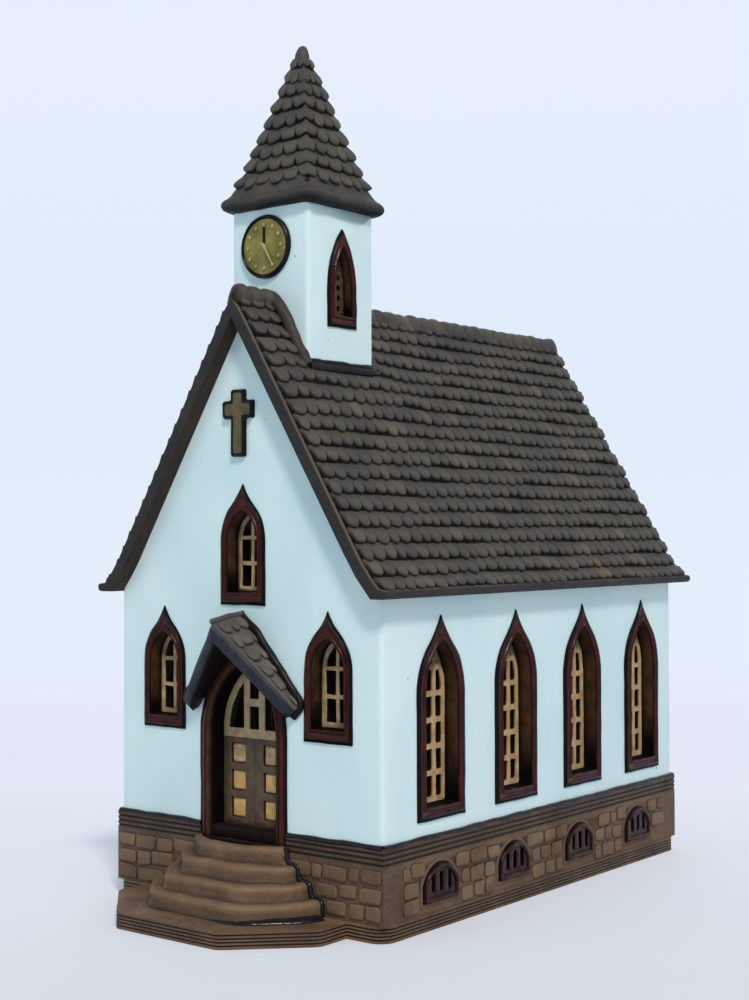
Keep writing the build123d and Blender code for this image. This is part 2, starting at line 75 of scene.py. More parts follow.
# Roof line: straight slopes with a flared foot
ROOF_PITCH = math.radians(58.5)
ROOF_THICKNESS = 5.0
FLARE_WIDTH = 8.0
FLARE_RADIUS = 56.0
FLARE_TURN = math.radians(14)


class Finish:
    """A fired surface whose nodes work in millimetres on the object's own coordinates."""

    def __init__(self, name, roughness=0.4, coat=0.0, specular=0.5):
        self.material = bpy.data.materials.new(name)
        self.material.use_nodes = True
        self.tree = self.material.node_tree
        self.shader = self.tree.nodes["Principled BSDF"]
        self.shader.inputs["Roughness"].default_value = roughness
        self.shader.inputs["Coat Weight"].default_value = coat
        self.shader.inputs["Coat Roughness"].default_value = 0.12
        self.shader.inputs["Specular IOR Level"].default_value = specular
        coordinates = self.node("TexCoord", output="Object")
        self.place = self.node("VectorMath", {0: coordinates, "Scale": 1 / MM}, operation="SCALE")

    def node(self, kind, feeds=None, output=0, **settings):
        made = self.tree.nodes.new("ShaderNode" + kind)
        for key, value in settings.items():
            setattr(made, key, value)
        for key, value in (feeds or {}).items():
            self.feed(made.inputs[key], value)
        return made.outputs[output]

    def feed(self, socket, value):
        if isinstance(value, bpy.types.NodeSocket):
            self.tree.links.new(value, socket)
        else:
            socket.default_value = value

    def cloud(self, size, detail=2.0, stretch=(1, 1, 1), shift=0.0):
        """Soft mottling of the given grain in millimetres."""
        start = (shift, shift, shift)
        moved = self.node("Mapping", {"Vector": self.place, "Scale": stretch, "Location": start})
        grain = {"Vector": moved, "Scale": 1 / size, "Detail": detail, "Roughness": 0.55}
        return self.node("TexNoise", grain)

    def axis(self, name):
        """One coordinate in millimetres."""
        return self.node("SeparateXYZ", {0: self.place}, output=name)

    def tally(self, operation, first, second):
        return self.node("Math", {0: first, 1: second}, operation=operation)

    def between(self, value, low, high):
        """Smooth step of a value from low to high."""
        feeds = {"Value": value, "From Min": low, "From Max": high}
        return self.node("MapRange", feeds, interpolation_type="SMOOTHSTEP")

    def ramp(self, value, *stops):
        made = self.tree.nodes.new("ShaderNodeValToRGB")
        self.tree.links.new(value, made.inputs[0])
        points = made.color_ramp.elements
        while len(points) < len(stops):
            points.new(0.5)
        for point, (place, colour) in zip(points, stops):
            point.position = place
            point.color = clay(*colour)
        return made.outputs[0]

    def blend(self, share, first, second):
        made = self.tree.nodes.new("ShaderNodeMix")
        made.data_type = "RGBA"
        for socket, value in ((made.inputs[0], share), (made.inputs[6], first), (made.inputs[7], second)):
            self.feed(socket, value)
        return made.outputs[2]

    def mark(self, name):
        """A number that the mesh carries on its points."""
        return self.node("Attribute", output="Fac", attribute_name=name)

    def patches(self, base, value, low, high, tone, strength=1.0):
        """A colour that turns to another tone where a value passes from low to high."""
        share = self.between(value, low, high)
        if strength < 1.0:
            share = self.tally("MULTIPLY", share, strength)
        return self.blend(share, base, clay(*tone))

    def recesses(self, base, tone, low=0.1, high=0.9):
        """A colour that turns to a dark tone where the mesh carries a shade: a dark wash in joints, and
        painted shade in recesses, creases and under parts.
        """
        return self.patches(base, self.mark("shade"), low, high, tone)

    def colour(self, value):
        self.feed(self.shader.inputs["Base Color"], value)

    def rough(self, value, low, high):
        """Roughness that varies with a value."""
        varied = self.node("MapRange", {"Value": value, "To Min": low, "To Max": high})
        self.feed(self.shader.inputs["Roughness"], varied)

    def relief(self, *layers):
        """Bumps of the given heights in millimetres."""
        normal = None
        for height, depth in layers:
            feeds = {"Height": height, "Distance": depth * MM, "Strength": 1.0}
            if normal is not None:
                feeds["Normal"] = normal
            normal = self.node("Bump", feeds)
        self.feed(self.shader.inputs["Normal"], normal)


def clay(red, green, blue):
    """Colour from the 0 to 255 values that a screen shows."""
    parts = [value / 255 for value in (red, green, blue)]
    return tuple(((v + 0.055) / 1.055) ** 2.4 if v > 0.04045 else v / 12.92 for v in parts) + (1.0,)


def make_wall_glaze():
    """Pale blue-white glaze with faint clouding and a few pinholes."""
    glaze = Finish("wall_glaze", 0.28, 0.15)
    base = glaze.ramp(glaze.cloud(34, 1), (0.25, (197, 219, 225)), (0.5, (206, 225, 230)),
                      (0.75, (213, 229, 231)))
    runs = glaze.cloud(7, 2, stretch=(1, 1, 0.2), shift=7)
    base = glaze.patches(base, runs, 0.35, 0.8, (220, 232, 231), 0.25)
    pinholes = glaze.cloud(3.4, 0, shift=31)
    glaze.colour(glaze.patches(base, pinholes, 0.885, 0.9, (140, 136, 130)))
    glaze.relief((glaze.cloud(22, 0), 0.5))
    return glaze.material


def make_bare_clay():
    """Unglazed dark body clay of the inside."""
    body = Finish("bare_clay", 0.9, specular=0.2)
    body.colour(body.ramp(body.cloud(6, 4), (0.3, (24, 18, 16)), (0.7, (38, 29, 25))))
    body.relief((body.cloud(2.5, 4), 0.25))
    return body.material


def make_roof_clay(name="roof_clay", lift=0):
    """Dark oxide wash over brown clay: grey-olive lobes with a few tan patches, black where the mesh carries
    a shade, partly the wash and partly painted shade under the lapping courses.
    """
    wash = Finish(name, 0.55, specular=0.18)

    def tone(red, green, blue):
        return red + lift, green + lift, blue + lift

    base = wash.ramp(wash.cloud(16, 3), (0.28, tone(54, 50, 52)), (0.5, tone(70, 66, 63)),
                     (0.72, tone(88, 81, 72)))
    tint = wash.ramp(wash.mark("tint"), (0.0, tone(62, 56, 60)), (0.5, tone(72, 69, 64)),
                     (0.9, tone(84, 78, 71)), (1.0, tone(112, 96, 80)))
    base = wash.blend(0.45, base, tint)
    base = wash.patches(base, wash.cloud(20, 2, shift=40), 0.62, 0.8, (134, 108, 84), 0.34)
    grit = wash.cloud(0.9, 3)
    base = wash.patches(base, grit, 0.5, 0.75, (116, 104, 92), 0.25)
    # Black where the mesh carries a shade: dark wash and painted shade in the recesses
    wash.colour(wash.recesses(base, (16, 13, 14), 0.05, 0.95))
    wash.rough(wash.cloud(5, 2), 0.42, 0.66)
    wash.relief((wash.cloud(2.4, 3), 0.3), (grit, 0.1))
    return wash.material


def make_stone_clay():
    """Warm brown clay, rubbed lighter on its high spots, with a dark wash left in its joints and painted
    shade at the foot of its risers and over the front of the plinth.
    """
    stone = Finish("stone_clay", 0.55, specular=0.25)
    low, middle, high, rubbed = (82, 59, 45), (104, 79, 61), (130, 103, 79), (158, 124, 92)
    base = stone.ramp(stone.cloud(11, 4), (0.3, low), (0.5, middle), (0.72, high))
    base = stone.blend(0.42, base, stone.ramp(stone.mark("tint"), (0.0, low), (0.7, high), (1.0, rubbed)))
    grit = stone.cloud(1.0, 3)
    base = stone.patches(base, grit, 0.45, 0.8, (142, 114, 88), 0.3)
    # Dark wash in the joints, painted shade at riser feet and on the plinth front
    stone.colour(stone.recesses(base, (26, 19, 18)))
    stone.rough(stone.cloud(6, 2), 0.44, 0.7)
    stone.relief((stone.cloud(3.2, 3), 0.35), (grit, 0.1))
    return stone.material


def make_glossy(name, low, high, grain, roughness, coat, specular):
    """Glossy coloured glaze that breaks lighter where it runs thin and turns dark where the mesh carries a
    shade: glaze pooled in a groove, and painted shade at the foot of an opening.
    """
    glaze = Finish(name, roughness, coat, specular)
    base = glaze.ramp(glaze.cloud(grain, 3), (0.3, low), (0.7, high))
    glaze.colour(glaze.recesses(base, [value * 0.3 for value in low]))
    glaze.relief((glaze.cloud(4, 2), 0.3), (glaze.cloud(1.2, 2), 0.06))
    return glaze.material


def make_matt(name, low, high, grain, roughness, specular=0.3):
    """Matt fired colour with fine grain, darkened by painted shade in its recesses."""
    matt = Finish(name, roughness, specular=specular)
    base = matt.ramp(matt.cloud(grain, 4), (0.3, low), (0.7, high))
    matt.colour(matt.recesses(base, [value * 0.12 for value in low]))
    matt.relief((matt.cloud(2.2, 3), 0.25), (matt.cloud(0.7, 2), 0.08))
    return matt.material


def make_panel_clay():
    """Ochre slip of the door panels, yellower towards the foot."""
    slip = Finish("panel_clay", 0.4, specular=0.3)
    height = slip.between(slip.axis("Z"), wall_foot + 6, wall_foot + 26)
    base = slip.ramp(height, (0.0, (196, 148, 90)), (0.55, (182, 142, 98)), (1.0, (158, 128, 98)))
    base = slip.patches(base, slip.cloud(2.5, 3), 0.45, 0.75, (212, 178, 130))
    # Painted shade darkens the recessed edges of the panels
    slip.colour(slip.recesses(base, (40, 26, 18)))
    slip.relief((slip.cloud(2.2, 3), 0.25), (slip.cloud(0.7, 2), 0.08))
    return slip.material


wall_glaze = make_wall_glaze()
bare_clay = make_bare_clay()
roof_clay = make_roof_clay()
stone_clay = make_stone_clay()
canopy_tiles = make_roof_clay("canopy_tiles", 16)
soffit_clay = make_matt("soffit_clay", (58, 42, 34), (86, 64, 50), 4.0, 0.55)
frame_outline = make_glossy("frame_outline", (9, 6, 8), (18, 12, 14), 5.0, 0.34, 0.0, 0.1)
frame_band = make_glossy("frame_band", (32, 12, 13), (56, 24, 23), 5.0, 0.26, 0.0, 0.16)
frame_groove = make_glossy("frame_groove", (50, 11, 11), (82, 22, 19), 5.0, 0.26, 0.0, 0.16)
frame_reveal = make_matt("frame_reveal", (48, 33, 22), (78, 55, 38), 4.0, 0.8, 0.08)
lattice_clay = make_matt("lattice_clay", (148, 118, 84), (192, 162, 124), 3.0, 0.45)
tower_lattice_clay = make_matt("tower_lattice_clay", (62, 42, 33), (88, 63, 48), 2.0, 0.5)
door_clay = make_matt("door_clay", (70, 53, 41), (100, 79, 62), 3.0, 0.5)
# Near-black clay of the sill, partly its own dark colour and partly painted shade over its lit top
sill_clay = make_matt("sill_clay", (19, 15, 13), (32, 25, 22), 3.0, 0.8, 0.08)
panel_clay = make_panel_clay()
fanlight_clay = make_matt("fanlight_clay", (146, 120, 90), (188, 160, 124), 3.0, 0.45)
gold_glaze = make_glossy("gold_glaze", (96, 86, 36), (142, 130, 62), 6.0, 0.28, 0.1, 0.3)
olive_glaze = make_glossy("olive_glaze", (54, 46, 26), (100, 88, 52), 5.0, 0.3, 0.1, 0.3)
gold_light = make_glossy("gold_light", (138, 128, 74), (178, 168, 112), 3.0, 0.28, 0.1, 0.3)
dark_glaze = make_glossy("dark_glaze", (13, 10, 12), (26, 21, 23), 3.0, 0.34, 0.0, 0.14)
pooled_glaze = make_glossy("pooled_glaze", (14, 12, 17), (30, 27, 35), 4.0, 0.24, 0.0, 0.25)
canopy_fascia = make_glossy("canopy_fascia", (28, 30, 38), (50, 52, 62), 4.0, 0.45, 0.0, 0.18)


def make_piece(bm, name, slot, finishes, nodes=(), body="house", crease=38):
    """Bring a millimetre mesh to metres and make it a piece of the house."""
    if nodes:
        name += "_fired"
    bmesh.ops.scale(bm, vec=(MM, MM, MM), verts=bm.verts)
    mesh = bpy.data.meshes.new(name)
    bm.to_mesh(mesh)
    bm.free()
    for finish in finishes:
        mesh.materials.append(finish)
    mesh.shade_smooth()
    mesh.set_sharp_from_angle(angle=math.radians(crease))
    piece = bpy.data.objects.new(name, mesh)
    bpy.context.scene.collection.objects.link(piece)
    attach(piece, body)
    if nodes:
        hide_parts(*nodes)


def new_mesh():
    """Empty mesh whose points can carry a tint and a shade, partly a dark wash and partly painted shade in
    recesses.
    """
    bm = bmesh.new()
    bm.verts.layers.float.new("shade")
    bm.verts.layers.float.new("tint")
    return bm


def marks(bm):
    """Layers of the shade (dark wash and painted recess shade) and of the tint."""
    layers = bm.verts.layers.float
    return layers["shade"], layers["tint"]


def copy_node(node):
    """Millimetre copy of a CAD node with its triangles merged into whole faces."""
    seam_gap, flat_angle = 0.004, math.radians(1)
    bm = new_mesh()
    bm.from_mesh(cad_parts[node].data)
    bmesh.ops.scale(bm, vec=(1 / MM, 1 / MM, 1 / MM), verts=bm.verts)
    bmesh.ops.remove_doubles(bm, verts=bm.verts, dist=seam_gap)
    bmesh.ops.dissolve_limit(bm, angle_limit=flat_angle, verts=bm.verts, edges=bm.edges)
    return bm


def verts_of(geometry):
    return [part for part in geometry if isinstance(part, bmesh.types.BMVert)]


def edges_of(geometry):
    return [part for part in geometry if isinstance(part, bmesh.types.BMEdge)]


def face_outwards(bm):
    bmesh.ops.recalc_face_normals(bm, faces=bm.faces)


def wobble(bm, grain, amount):
    """Unevenness that a hand leaves in wet clay."""
    for vert in bm.verts:
        vert.co += noise.noise_vector(vert.co / grain) * amount


def slice_mesh(bm, point, normal, clear_outer=False):
    """Cut the whole mesh along a plane and give the cut edges."""
    everything = bm.verts[:] + bm.edges[:] + bm.faces[:]
    cut = bmesh.ops.bisect_plane(bm, geom=everything, plane_co=point, plane_no=normal,
                                 clear_outer=clear_outer)
    return edges_of(cut["geom_cut"])


def finish_around(verts, index):
    """Give the faces round the points another of the piece's finishes."""
    for face in dict.fromkeys(face for vert in verts for face in vert.link_faces):
        face.material_index = index


def glaze_outside(bm, half, front, rear, depth):
    """Glaze the faces near the outside of a box of walls and leave its inside bare."""
    for face in bm.faces:
        centre = face.calc_center_median()
        inside = min(half - abs(centre.x), centre.y - front, rear - centre.y)
        face.material_index = 0 if inside < depth else 1


def round_edges(bm, edges, offset, segments):
    """Soften the chosen edges."""
    bmesh.ops.bevel(bm, geom=list(edges), offset=offset, offset_type="OFFSET", affect="EDGES",
                    segments=segments, profile=0.5, material=-1, clamp_overlap=True)


def sharp_edges(bm, angle=30):
    """Edges between faces that meet at more than the given angle."""
    limit = math.radians(angle)
    return [e for e in bm.edges if len(e.link_faces) == 2 and e.calc_face_angle(0) > limit]


def push_faces(faces, amount):
    """Move faces along their normals, mitred where they meet."""
    sharpest_mitre = 0.4
    normals = {}
    for face in faces:
        for vert in face.verts:
            normals.setdefault(vert, []).append(face.normal.copy())
    for vert, around in normals.items():
        heading = sum(around, Vector()).normalized()
        vert.co += heading * amount / max(sharpest_mitre, min(heading.dot(normal) for normal in around))


def hole_faces(bm, axis, tallest):
    """Walls of the holes pierced along an axis, without the outline of the plate itself."""
    walls = dict.fromkeys(face for face in bm.faces if abs(face.normal[axis]) < 0.3)
    found = []
    while walls:
        group = [walls.popitem()[0]]
        for face in group:
            for near in [other for edge in face.edges for other in edge.link_faces]:
                if near in walls:
                    del walls[near]
                    group.append(near)
        levels = [vert.co.z for face in group for vert in face.verts]
        if max(levels) - min(levels) < tallest:
            found += group
    return found


def soften_holes(bm, axis, corner, soft):
    """Round the corners of pierced holes, then the edges that are still sharp."""
    through = [e for e in sharp_edges(bm) if abs((e.verts[0].co - e.verts[1].co).normalized()[axis]) > 0.9]
    round_edges(bm, through, corner, 3)
    round_edges(bm, sharp_edges(bm, 50), soft, 2)


def shade_points(bm, verts, value):
    shade = marks(bm)[0]
    for vert in verts:
        vert[shade] = value


def wall_matrix(outward, origin):
    """Across, up and out of a wall, with its origin on the wall face."""
    out = Vector(outward)
    turn = Matrix((UP.cross(out), UP, out)).transposed().to_4x4()
    return Matrix.Translation(origin) @ turn


def coil(bm, points, radius, segments=10):
    """Round coil of clay laid along a line of points, of one radius or of one for each point."""
    radii = radius if isinstance(radius, list) else [radius] * len(points)
    loops = []
    for index, point in enumerate(points):
        heading = points[min(index + 1, len(points) - 1)] - points[max(index - 1, 0)]
        turn = heading.to_track_quat("Z", "Y").to_matrix().to_4x4()
        place = Matrix.Translation(point) @ turn
        ring = bmesh.ops.create_circle(bm, segments=segments, radius=radii[index], matrix=place)["verts"]
        loops.append(list(dict.fromkeys(edge for vert in ring for edge in vert.link_edges)))
    made = []
    for first, second in zip(loops, loops[1:]):
        made += bmesh.ops.bridge_loops(bm, edges=first + second)["faces"]
    for end in (loops[0], loops[-1]):
        made += bmesh.ops.contextual_create(bm, geom=end)["faces"]
    bmesh.ops.recalc_face_normals(bm, faces=made)
    return list(dict.fromkeys(vert for face in made for vert in face.verts))


def smoothed(points, rounds):
    """Points of an open line, drawn into softer bends."""
    for _ in range(rounds):
        inside = [(a + 2 * b + c) / 4 for a, b, c in zip(points, points[1:], points[2:])]
        points = [points[0]] + inside + [points[-1]]
    return points


def spread(points, step):
    """Points of an open line with more between them, about a step apart."""
    dense = []
    for start, end in zip(points, points[1:]):
        count = max(1, round((end - start).length / step))
        dense += [start.lerp(end, i / count) for i in range(count)]
    return dense + [points[-1]]


def ease(value, low, high):
    """Smooth step of a number from low to high."""
    share = min(1.0, max(0.0, (value - low) / (high - low)))
    return share * share * (3 - 2 * share)


FRONT = Vector((0, -1, 0))
SIDES = {"left": Vector((-1, 0, 0)), "right": Vector((1, 0, 0))}


def arc_points(start, heading, end, count):
    """Points past start on the arc that leaves it along heading, and the heading at its end."""
    chord = end - start
    side = heading.x * chord.y - heading.y * chord.x
    turn = 2 * math.atan2(side, chord.dot(heading))
    normal = Vector((-heading.y, heading.x))
    radius = chord.length_squared / (2 * side)
    spoke = -normal * radius
    centre = start - spoke
    points = [centre + Matrix.Rotation(turn * i / count, 2) @ spoke for i in range(1, count + 1)]
    return points, Matrix.Rotation(turn, 2) @ heading


def whole(half_points):
    """Close the right half of an outline with its mirror image."""
    return half_points + [Vector((-p.x, p.y)) for p in reversed(half_points[1:-1])]


# Cuts along the half foot, the upright and the arc of a pointed outline, and up to the shoulder of its arc
FOOT_CUTS, UPRIGHT_CUTS, ARC_CUTS, SHOULDER_CUTS = 3, 6, 12, 7


def pointed(half, foot, spring, tip, shoulder=None):
    """Pointed outline, drawn out to its tip where it has a shoulder."""
    low = Vector((half, foot))
    start = Vector((half, spring))
    top = Vector((0, tip))
    points = [Vector((half * i / FOOT_CUTS, foot)) for i in range(FOOT_CUTS)]
    points += [low.lerp(start, i / UPRIGHT_CUTS) for i in range(UPRIGHT_CUTS + 1)]
    if shoulder is None:
        points += arc_points(start, Vector((0, 1)), top, ARC_CUTS)[0]
    else:
        lower, heading = arc_points(start, Vector((0, 1)), shoulder, SHOULDER_CUTS)
        points += lower + arc_points(shoulder, heading, top, ARC_CUTS - SHOULDER_CUTS)[0]
    return whole(points)


def moulded_ring(bm, place, outer, inner, profile):
    """Closed moulding between two outlines.

    Each step of the profile is a share of the way in, a height, a finish and a shade.
    """
    shade = marks(bm)[0]
    loops = []
    for share, height, finish, dark in profile:
        points = [a.lerp(b, share) for a, b in zip(outer, inner)]
        verts = [bm.verts.new(place @ Vector((p.x, p.y, height))) for p in points]
        for vert in verts:
            vert[shade] = dark
        edges = [bm.edges.new((verts[i - 1], verts[i])) for i in range(len(verts))]
        loops.append((edges, finish))
    made = []
    for index, (edges, finish) in enumerate(loops):
        following = loops[(index + 1) % len(loops)][0]
        faces = bmesh.ops.bridge_loops(bm, edges=edges + following)["faces"]
        for face in faces:
            face.material_index = finish
        made += faces
    bmesh.ops.recalc_face_normals(bm, faces=made)


# Pointed windows: rise, band and point of the raised frame, and how deep the lattice sits
WINDOWS = {"side": (21.6, 3.2, 6.1, 4.0), "front": (16.3, 2.3, 6.8, 4.0), "tower": (18.0, 2.2, 4.6, 2.4)}
FOOT_BAND = 3.3
FRAME_LIP = 0.45
FRAME_FINISHES = (frame_outline, frame_band, frame_groove, frame_reveal)
# Profile of a frame from its outer edge: share of the way in, height, finish and shade, with painted shade
# starting in the reveal
FRAME_PROFILE = [
    (0.0, -0.2, 0, 0), (0.01, 0.4, 0, 0), (0.12, 0.65, 0, 0), (0.17, 0.5, 0, 0), (0.24, 0.85, 1, 0),
    (0.36, 1.0, 1, 0), (0.48, 0.9, 2, 0.6), (0.56, 0.64, 2, 0), (0.7, 0.56, 2, 0), (0.78, 0.9, 1, 0),
    (0.87, 1.05, 1, 0), (0.96, 0.85, 1, 0), (1.0, 0.3, 3, 0), (1.0, -0.8, 3, 0.1),
]


def make_window(node):
    """Raised frame with a black outline, a glossy band, a red groove, an inner lip and a brown reveal that
    painted shade turns black inwards and at its foot.
    """
    low, high = node_box(node)
    name = node.replace("window_frame_", "")
    kind = "tower" if "tower" in name else "side" if name[-1].isdigit() else "front"
    rise, band, point, depth = WINDOWS[kind]
    middle = (low + high) / 2
    if kind == "front":
        place = wall_matrix(FRONT, (middle.x, high.y, low.z))
        half = (high.x - low.x) / 2
    else:
        outward = SIDES["left" if middle.x < 0 else "right"]
        place = wall_matrix(outward, (high.x if middle.x < 0 else low.x, middle.y, low.z))
        half = (high.y - low.y) / 2
    height = high.z - low.z
    spring = height - rise
    shoulder = None if kind == "tower" else Vector((half * 0.5, spring + rise * 0.625))
    outer = pointed(half, 0, spring, height, shoulder)
    inner = pointed(half - band - FRAME_LIP, FOOT_BAND + FRAME_LIP, spring, height - point - 2 * FRAME_LIP)
    # The reveal turns dark inwards with painted shade
    reveal = [(1.0, -depth * 0.6, 3, 0.35), (1.0, -depth - 0.3, 3, 0.9)]
    bm = new_mesh()
    moulded_ring(bm, place, outer, inner, FRAME_PROFILE + reveal)
    shade = marks(bm)[0]
    flat = place.inverted()
    # Painted shade: the sill and the lip near the foot of the opening turn black
    for vert in bm.verts:
        across, up, out = flat @ vert.co
        if out < 0.5 and abs(across) < half - band and up > FOOT_BAND:
            vert[shade] = max(vert[shade], 1.1 - (up - FOOT_BAND) / (height * 0.3))
    wobble(bm, 4, 0.16)
    make_piece(bm, "frame_" + name, "frame_glaze", FRAME_FINISHES, (node,))


# Depth behind the front of a pierced plate at which the walls of its holes are painted black as shade
BLACK_DEPTH = 0.75


def blacken_depth(bm, axis, fronts):
    """Leave the front of a pierced plate its colour and paint the walls of its holes black as the shade
    inside them.
    """
    shade = marks(bm)[0]
    normal = Vector((0, 0, 0))
    normal[axis] = 1
    for side, level in fronts.items():
        slice_mesh(bm, normal * side * (level - BLACK_DEPTH), normal)
    for vert in bm.verts:
        side = min(fronts, key=lambda value: abs(vert.co[axis] - value * fronts[value]))
        vert[shade] = ease(fronts[side] - vert.co[axis] * side, 0.2, BLACK_DEPTH)


def make_lattice(node, slot, finish, corner):
    """Pierced lattice with softened bars and rounded holes whose walls are painted black as shade."""
    bm = copy_node(node)
    low, high = node_box(node)
    axis = 1 if node == "front_lattices" else 0
    fronts = {"front_lattices": {-1: -low.y}, "lattices_left": {-1: -low.x}, "lattices_right": {1: high.x},
              "tower_lattices": {-1: -low.x, 1: high.x}}[node]
    if node == "front_lattices":
        push_faces(hole_faces(bm, axis, 20), -0.2)
    soften_holes(bm, axis, corner, 0.26)
    blacken_depth(bm, axis, fronts)
    wobble(bm, 2.5, 0.2)
    make_piece(bm, node, slot, (finish,), (node,))


# Distance within which a point counts as lying on a face
TOUCH = 0.01


def make_wall(node):
    """Glazed wall with rounded outer corners and bare clay inside."""
    bm = copy_node(node)
    if node in ("wall_front", "wall_rear"):
        outer_y = front_face if node == "wall_front" else rear_face
        corners = [e for e in bm.edges if all(abs(abs(v.co.x) - half_house) < TOUCH for v in e.verts)
                   and all(abs(v.co.y - outer_y) < TOUCH for v in e.verts)]
        round_edges(bm, corners, 1.6, 4)
    glaze_outside(bm, half_house, front_face, rear_face, 1.5)
    make_piece(bm, node, "wall_glaze", (wall_glaze, bare_clay), (node,))


def roof_outline(outset):
    """Start of the roof line and of its flare, and the centre of the flare."""
    out = Vector((math.sin(ROOF_PITCH), math.cos(ROOF_PITCH)))
    flare_x = half_house - FLARE_WIDTH
    apex = Vector((0, gable_apex + outset / math.cos(ROOF_PITCH)))
    flare = Vector((flare_x, gable_apex - flare_x * math.tan(ROOF_PITCH))) + out * outset
    return apex, flare, flare + out * (FLARE_RADIUS - outset)


def roof_at(run, outset):
    """Point of the roof line at a run from the ridge, and the direction down the slope there."""
    apex, flare, centre = roof_outline(outset)
    straight = (flare - apex).length
    radius = FLARE_RADIUS - outset
    if run < straight:
        return apex.lerp(flare, run / straight), (flare - apex).normalized()
    turn = min((run - straight) / radius, FLARE_TURN)
    point = centre + Matrix.Rotation(turn, 2) @ (flare - centre)
    down = Matrix.Rotation(turn, 2) @ (flare - apex).normalized()
    past = max(0, run - straight - radius * FLARE_TURN)
    return point + down * past, down


def roof_run(outset):
    """Length of the roof line from the ridge to the eave."""
    apex, flare = roof_outline(outset)[:2]
    bend = (flare - apex).length + (FLARE_RADIUS - outset) * FLARE_TURN
    end, down = roof_at(bend, outset)
    return bend + (eave_level - end.y) / down.y


# Cuts across each lobe of a tile course, and down its bare part as shares of it
LOBE_STEPS = 6
LOBE_LEVELS = (0.0, 0.3, 0.55, 0.78, 0.93, 1.0)
SKIRT_DROP = 0.9


def lay_course(bm, bounds, length, bare, butt, notch, place):
    """One lapped course, bare over part of its length: whole at its head, lobed along its lower edge, and
    marked with painted shade where it is lapped.
    """
    lapped = 1 - bare / length
    levels = [0.0, lapped - 0.05] + [lapped + 0.04 + (0.96 - lapped) * share for share in LOBE_LEVELS]
    lobes = len(bounds) - 1
    columns, rows = lobes * LOBE_STEPS, len(levels) - 1
    shade, tint = marks(bm)
    hand = [(potter.uniform(-0.5, 0.4), potter.uniform(-0.1, 0.2), potter.random()) for _ in range(lobes)]
    grid = bmesh.ops.create_grid(bm, x_segments=columns, y_segments=rows, size=0.5)["verts"]
    for vert in grid:
        column = round((vert.co.x + 0.5) * columns)
        level = levels[round((vert.co.y + 0.5) * rows)]
        lobe = min(column // LOBE_STEPS, lobes - 1)
        even = 2 * (column - lobe * LOBE_STEPS) / LOBE_STEPS - 1
        across = math.copysign(abs(even) ** 0.75, even)
        reach, swell, colour = hand[lobe]
        along = bounds[lobe] + (bounds[lobe + 1] - bounds[lobe]) * (across + 1) / 2
        crown = 1 - across ** 2
        sag = notch * (1 - math.sqrt(max(0.0, crown)))
        down = -length * (1 - level) + (reach * crown - sag) * ease(level, 0.3, 1.0)
        crease = ease(level, 0.72, 0.95) * abs(across) ** 6
        rounded = 0.6 if level == 1.0 else 0.9 if level > 0.94 else 1.0
        body = butt * (0.25 + 0.75 * ease(level, lapped - 0.1, 0.86)) * rounded
        lift = body * (1 - 0.5 * crease) + (0.25 + swell) * crown * ease(level, 0.4, 0.9)
        # Painted shade, partly a dark wash: black where the course above laps this one, half dark along the
        # butt and darker in the creases between lobes
        vert[shade] = max(0.7 * crease, 1.0 if level < lapped else 0.0, 0.5 if level == 1.0 else 0.0)
        vert[tint] = colour
        vert.co = Vector((along, down, lift))
    rim = [e for e in dict.fromkeys(e for v in grid for e in v.link_edges) if e.is_boundary]
    skirt = bmesh.ops.extrude_edge_only(bm, edges=rim)["geom"]
    low = verts_of(skirt)
    for vert in low:
        vert.co = Vector((vert.co.x, vert.co.y - SKIRT_DROP / 3, -SKIRT_DROP))
        # The skirt under the lower edge is painted black as shade
        vert[shade] = 1.0
    bmesh.ops.contextual_create(bm, geom=edges_of(skirt))
    for vert in grid + low:
        vert.co = place(*vert.co)


# Main roof: bed of the tiles, radius and run of the rolled eave, softened ridge, and the spread of its tiles
TILE_BED = 3.7
EAVE_RADIUS = 1.3
ROLLED_EAVE = 2.3
RIDGE_SOFTNESS = 0.9
COURSES = 19
LOBES_ALONG = 34
TILE_LENGTH = 7.8
VERGE = 1.3


def lobe_bounds(start, end, count):
    """Uneven spread of lobes between two places."""
    step = (end - start) / count
    return [start + step * (i + (potter.uniform(-0.16, 0.16) if 0 < i < count else 0))
            for i in range(count + 1)]


def tower_swell(run, along):
    """Extra thickness of the tiles where they are pressed up against the tower."""
    most, width, fade = 1.4, 13, 24
    foot = tower_high.x / math.cos(ROOF_PITCH)
    near = ease(along, roof_low.y + 1, roof_low.y + 9) * (1 - ease(along, tower_high.y, tower_high.y + fade))
    return most * near * math.exp(-((run - foot) / width) ** 2)


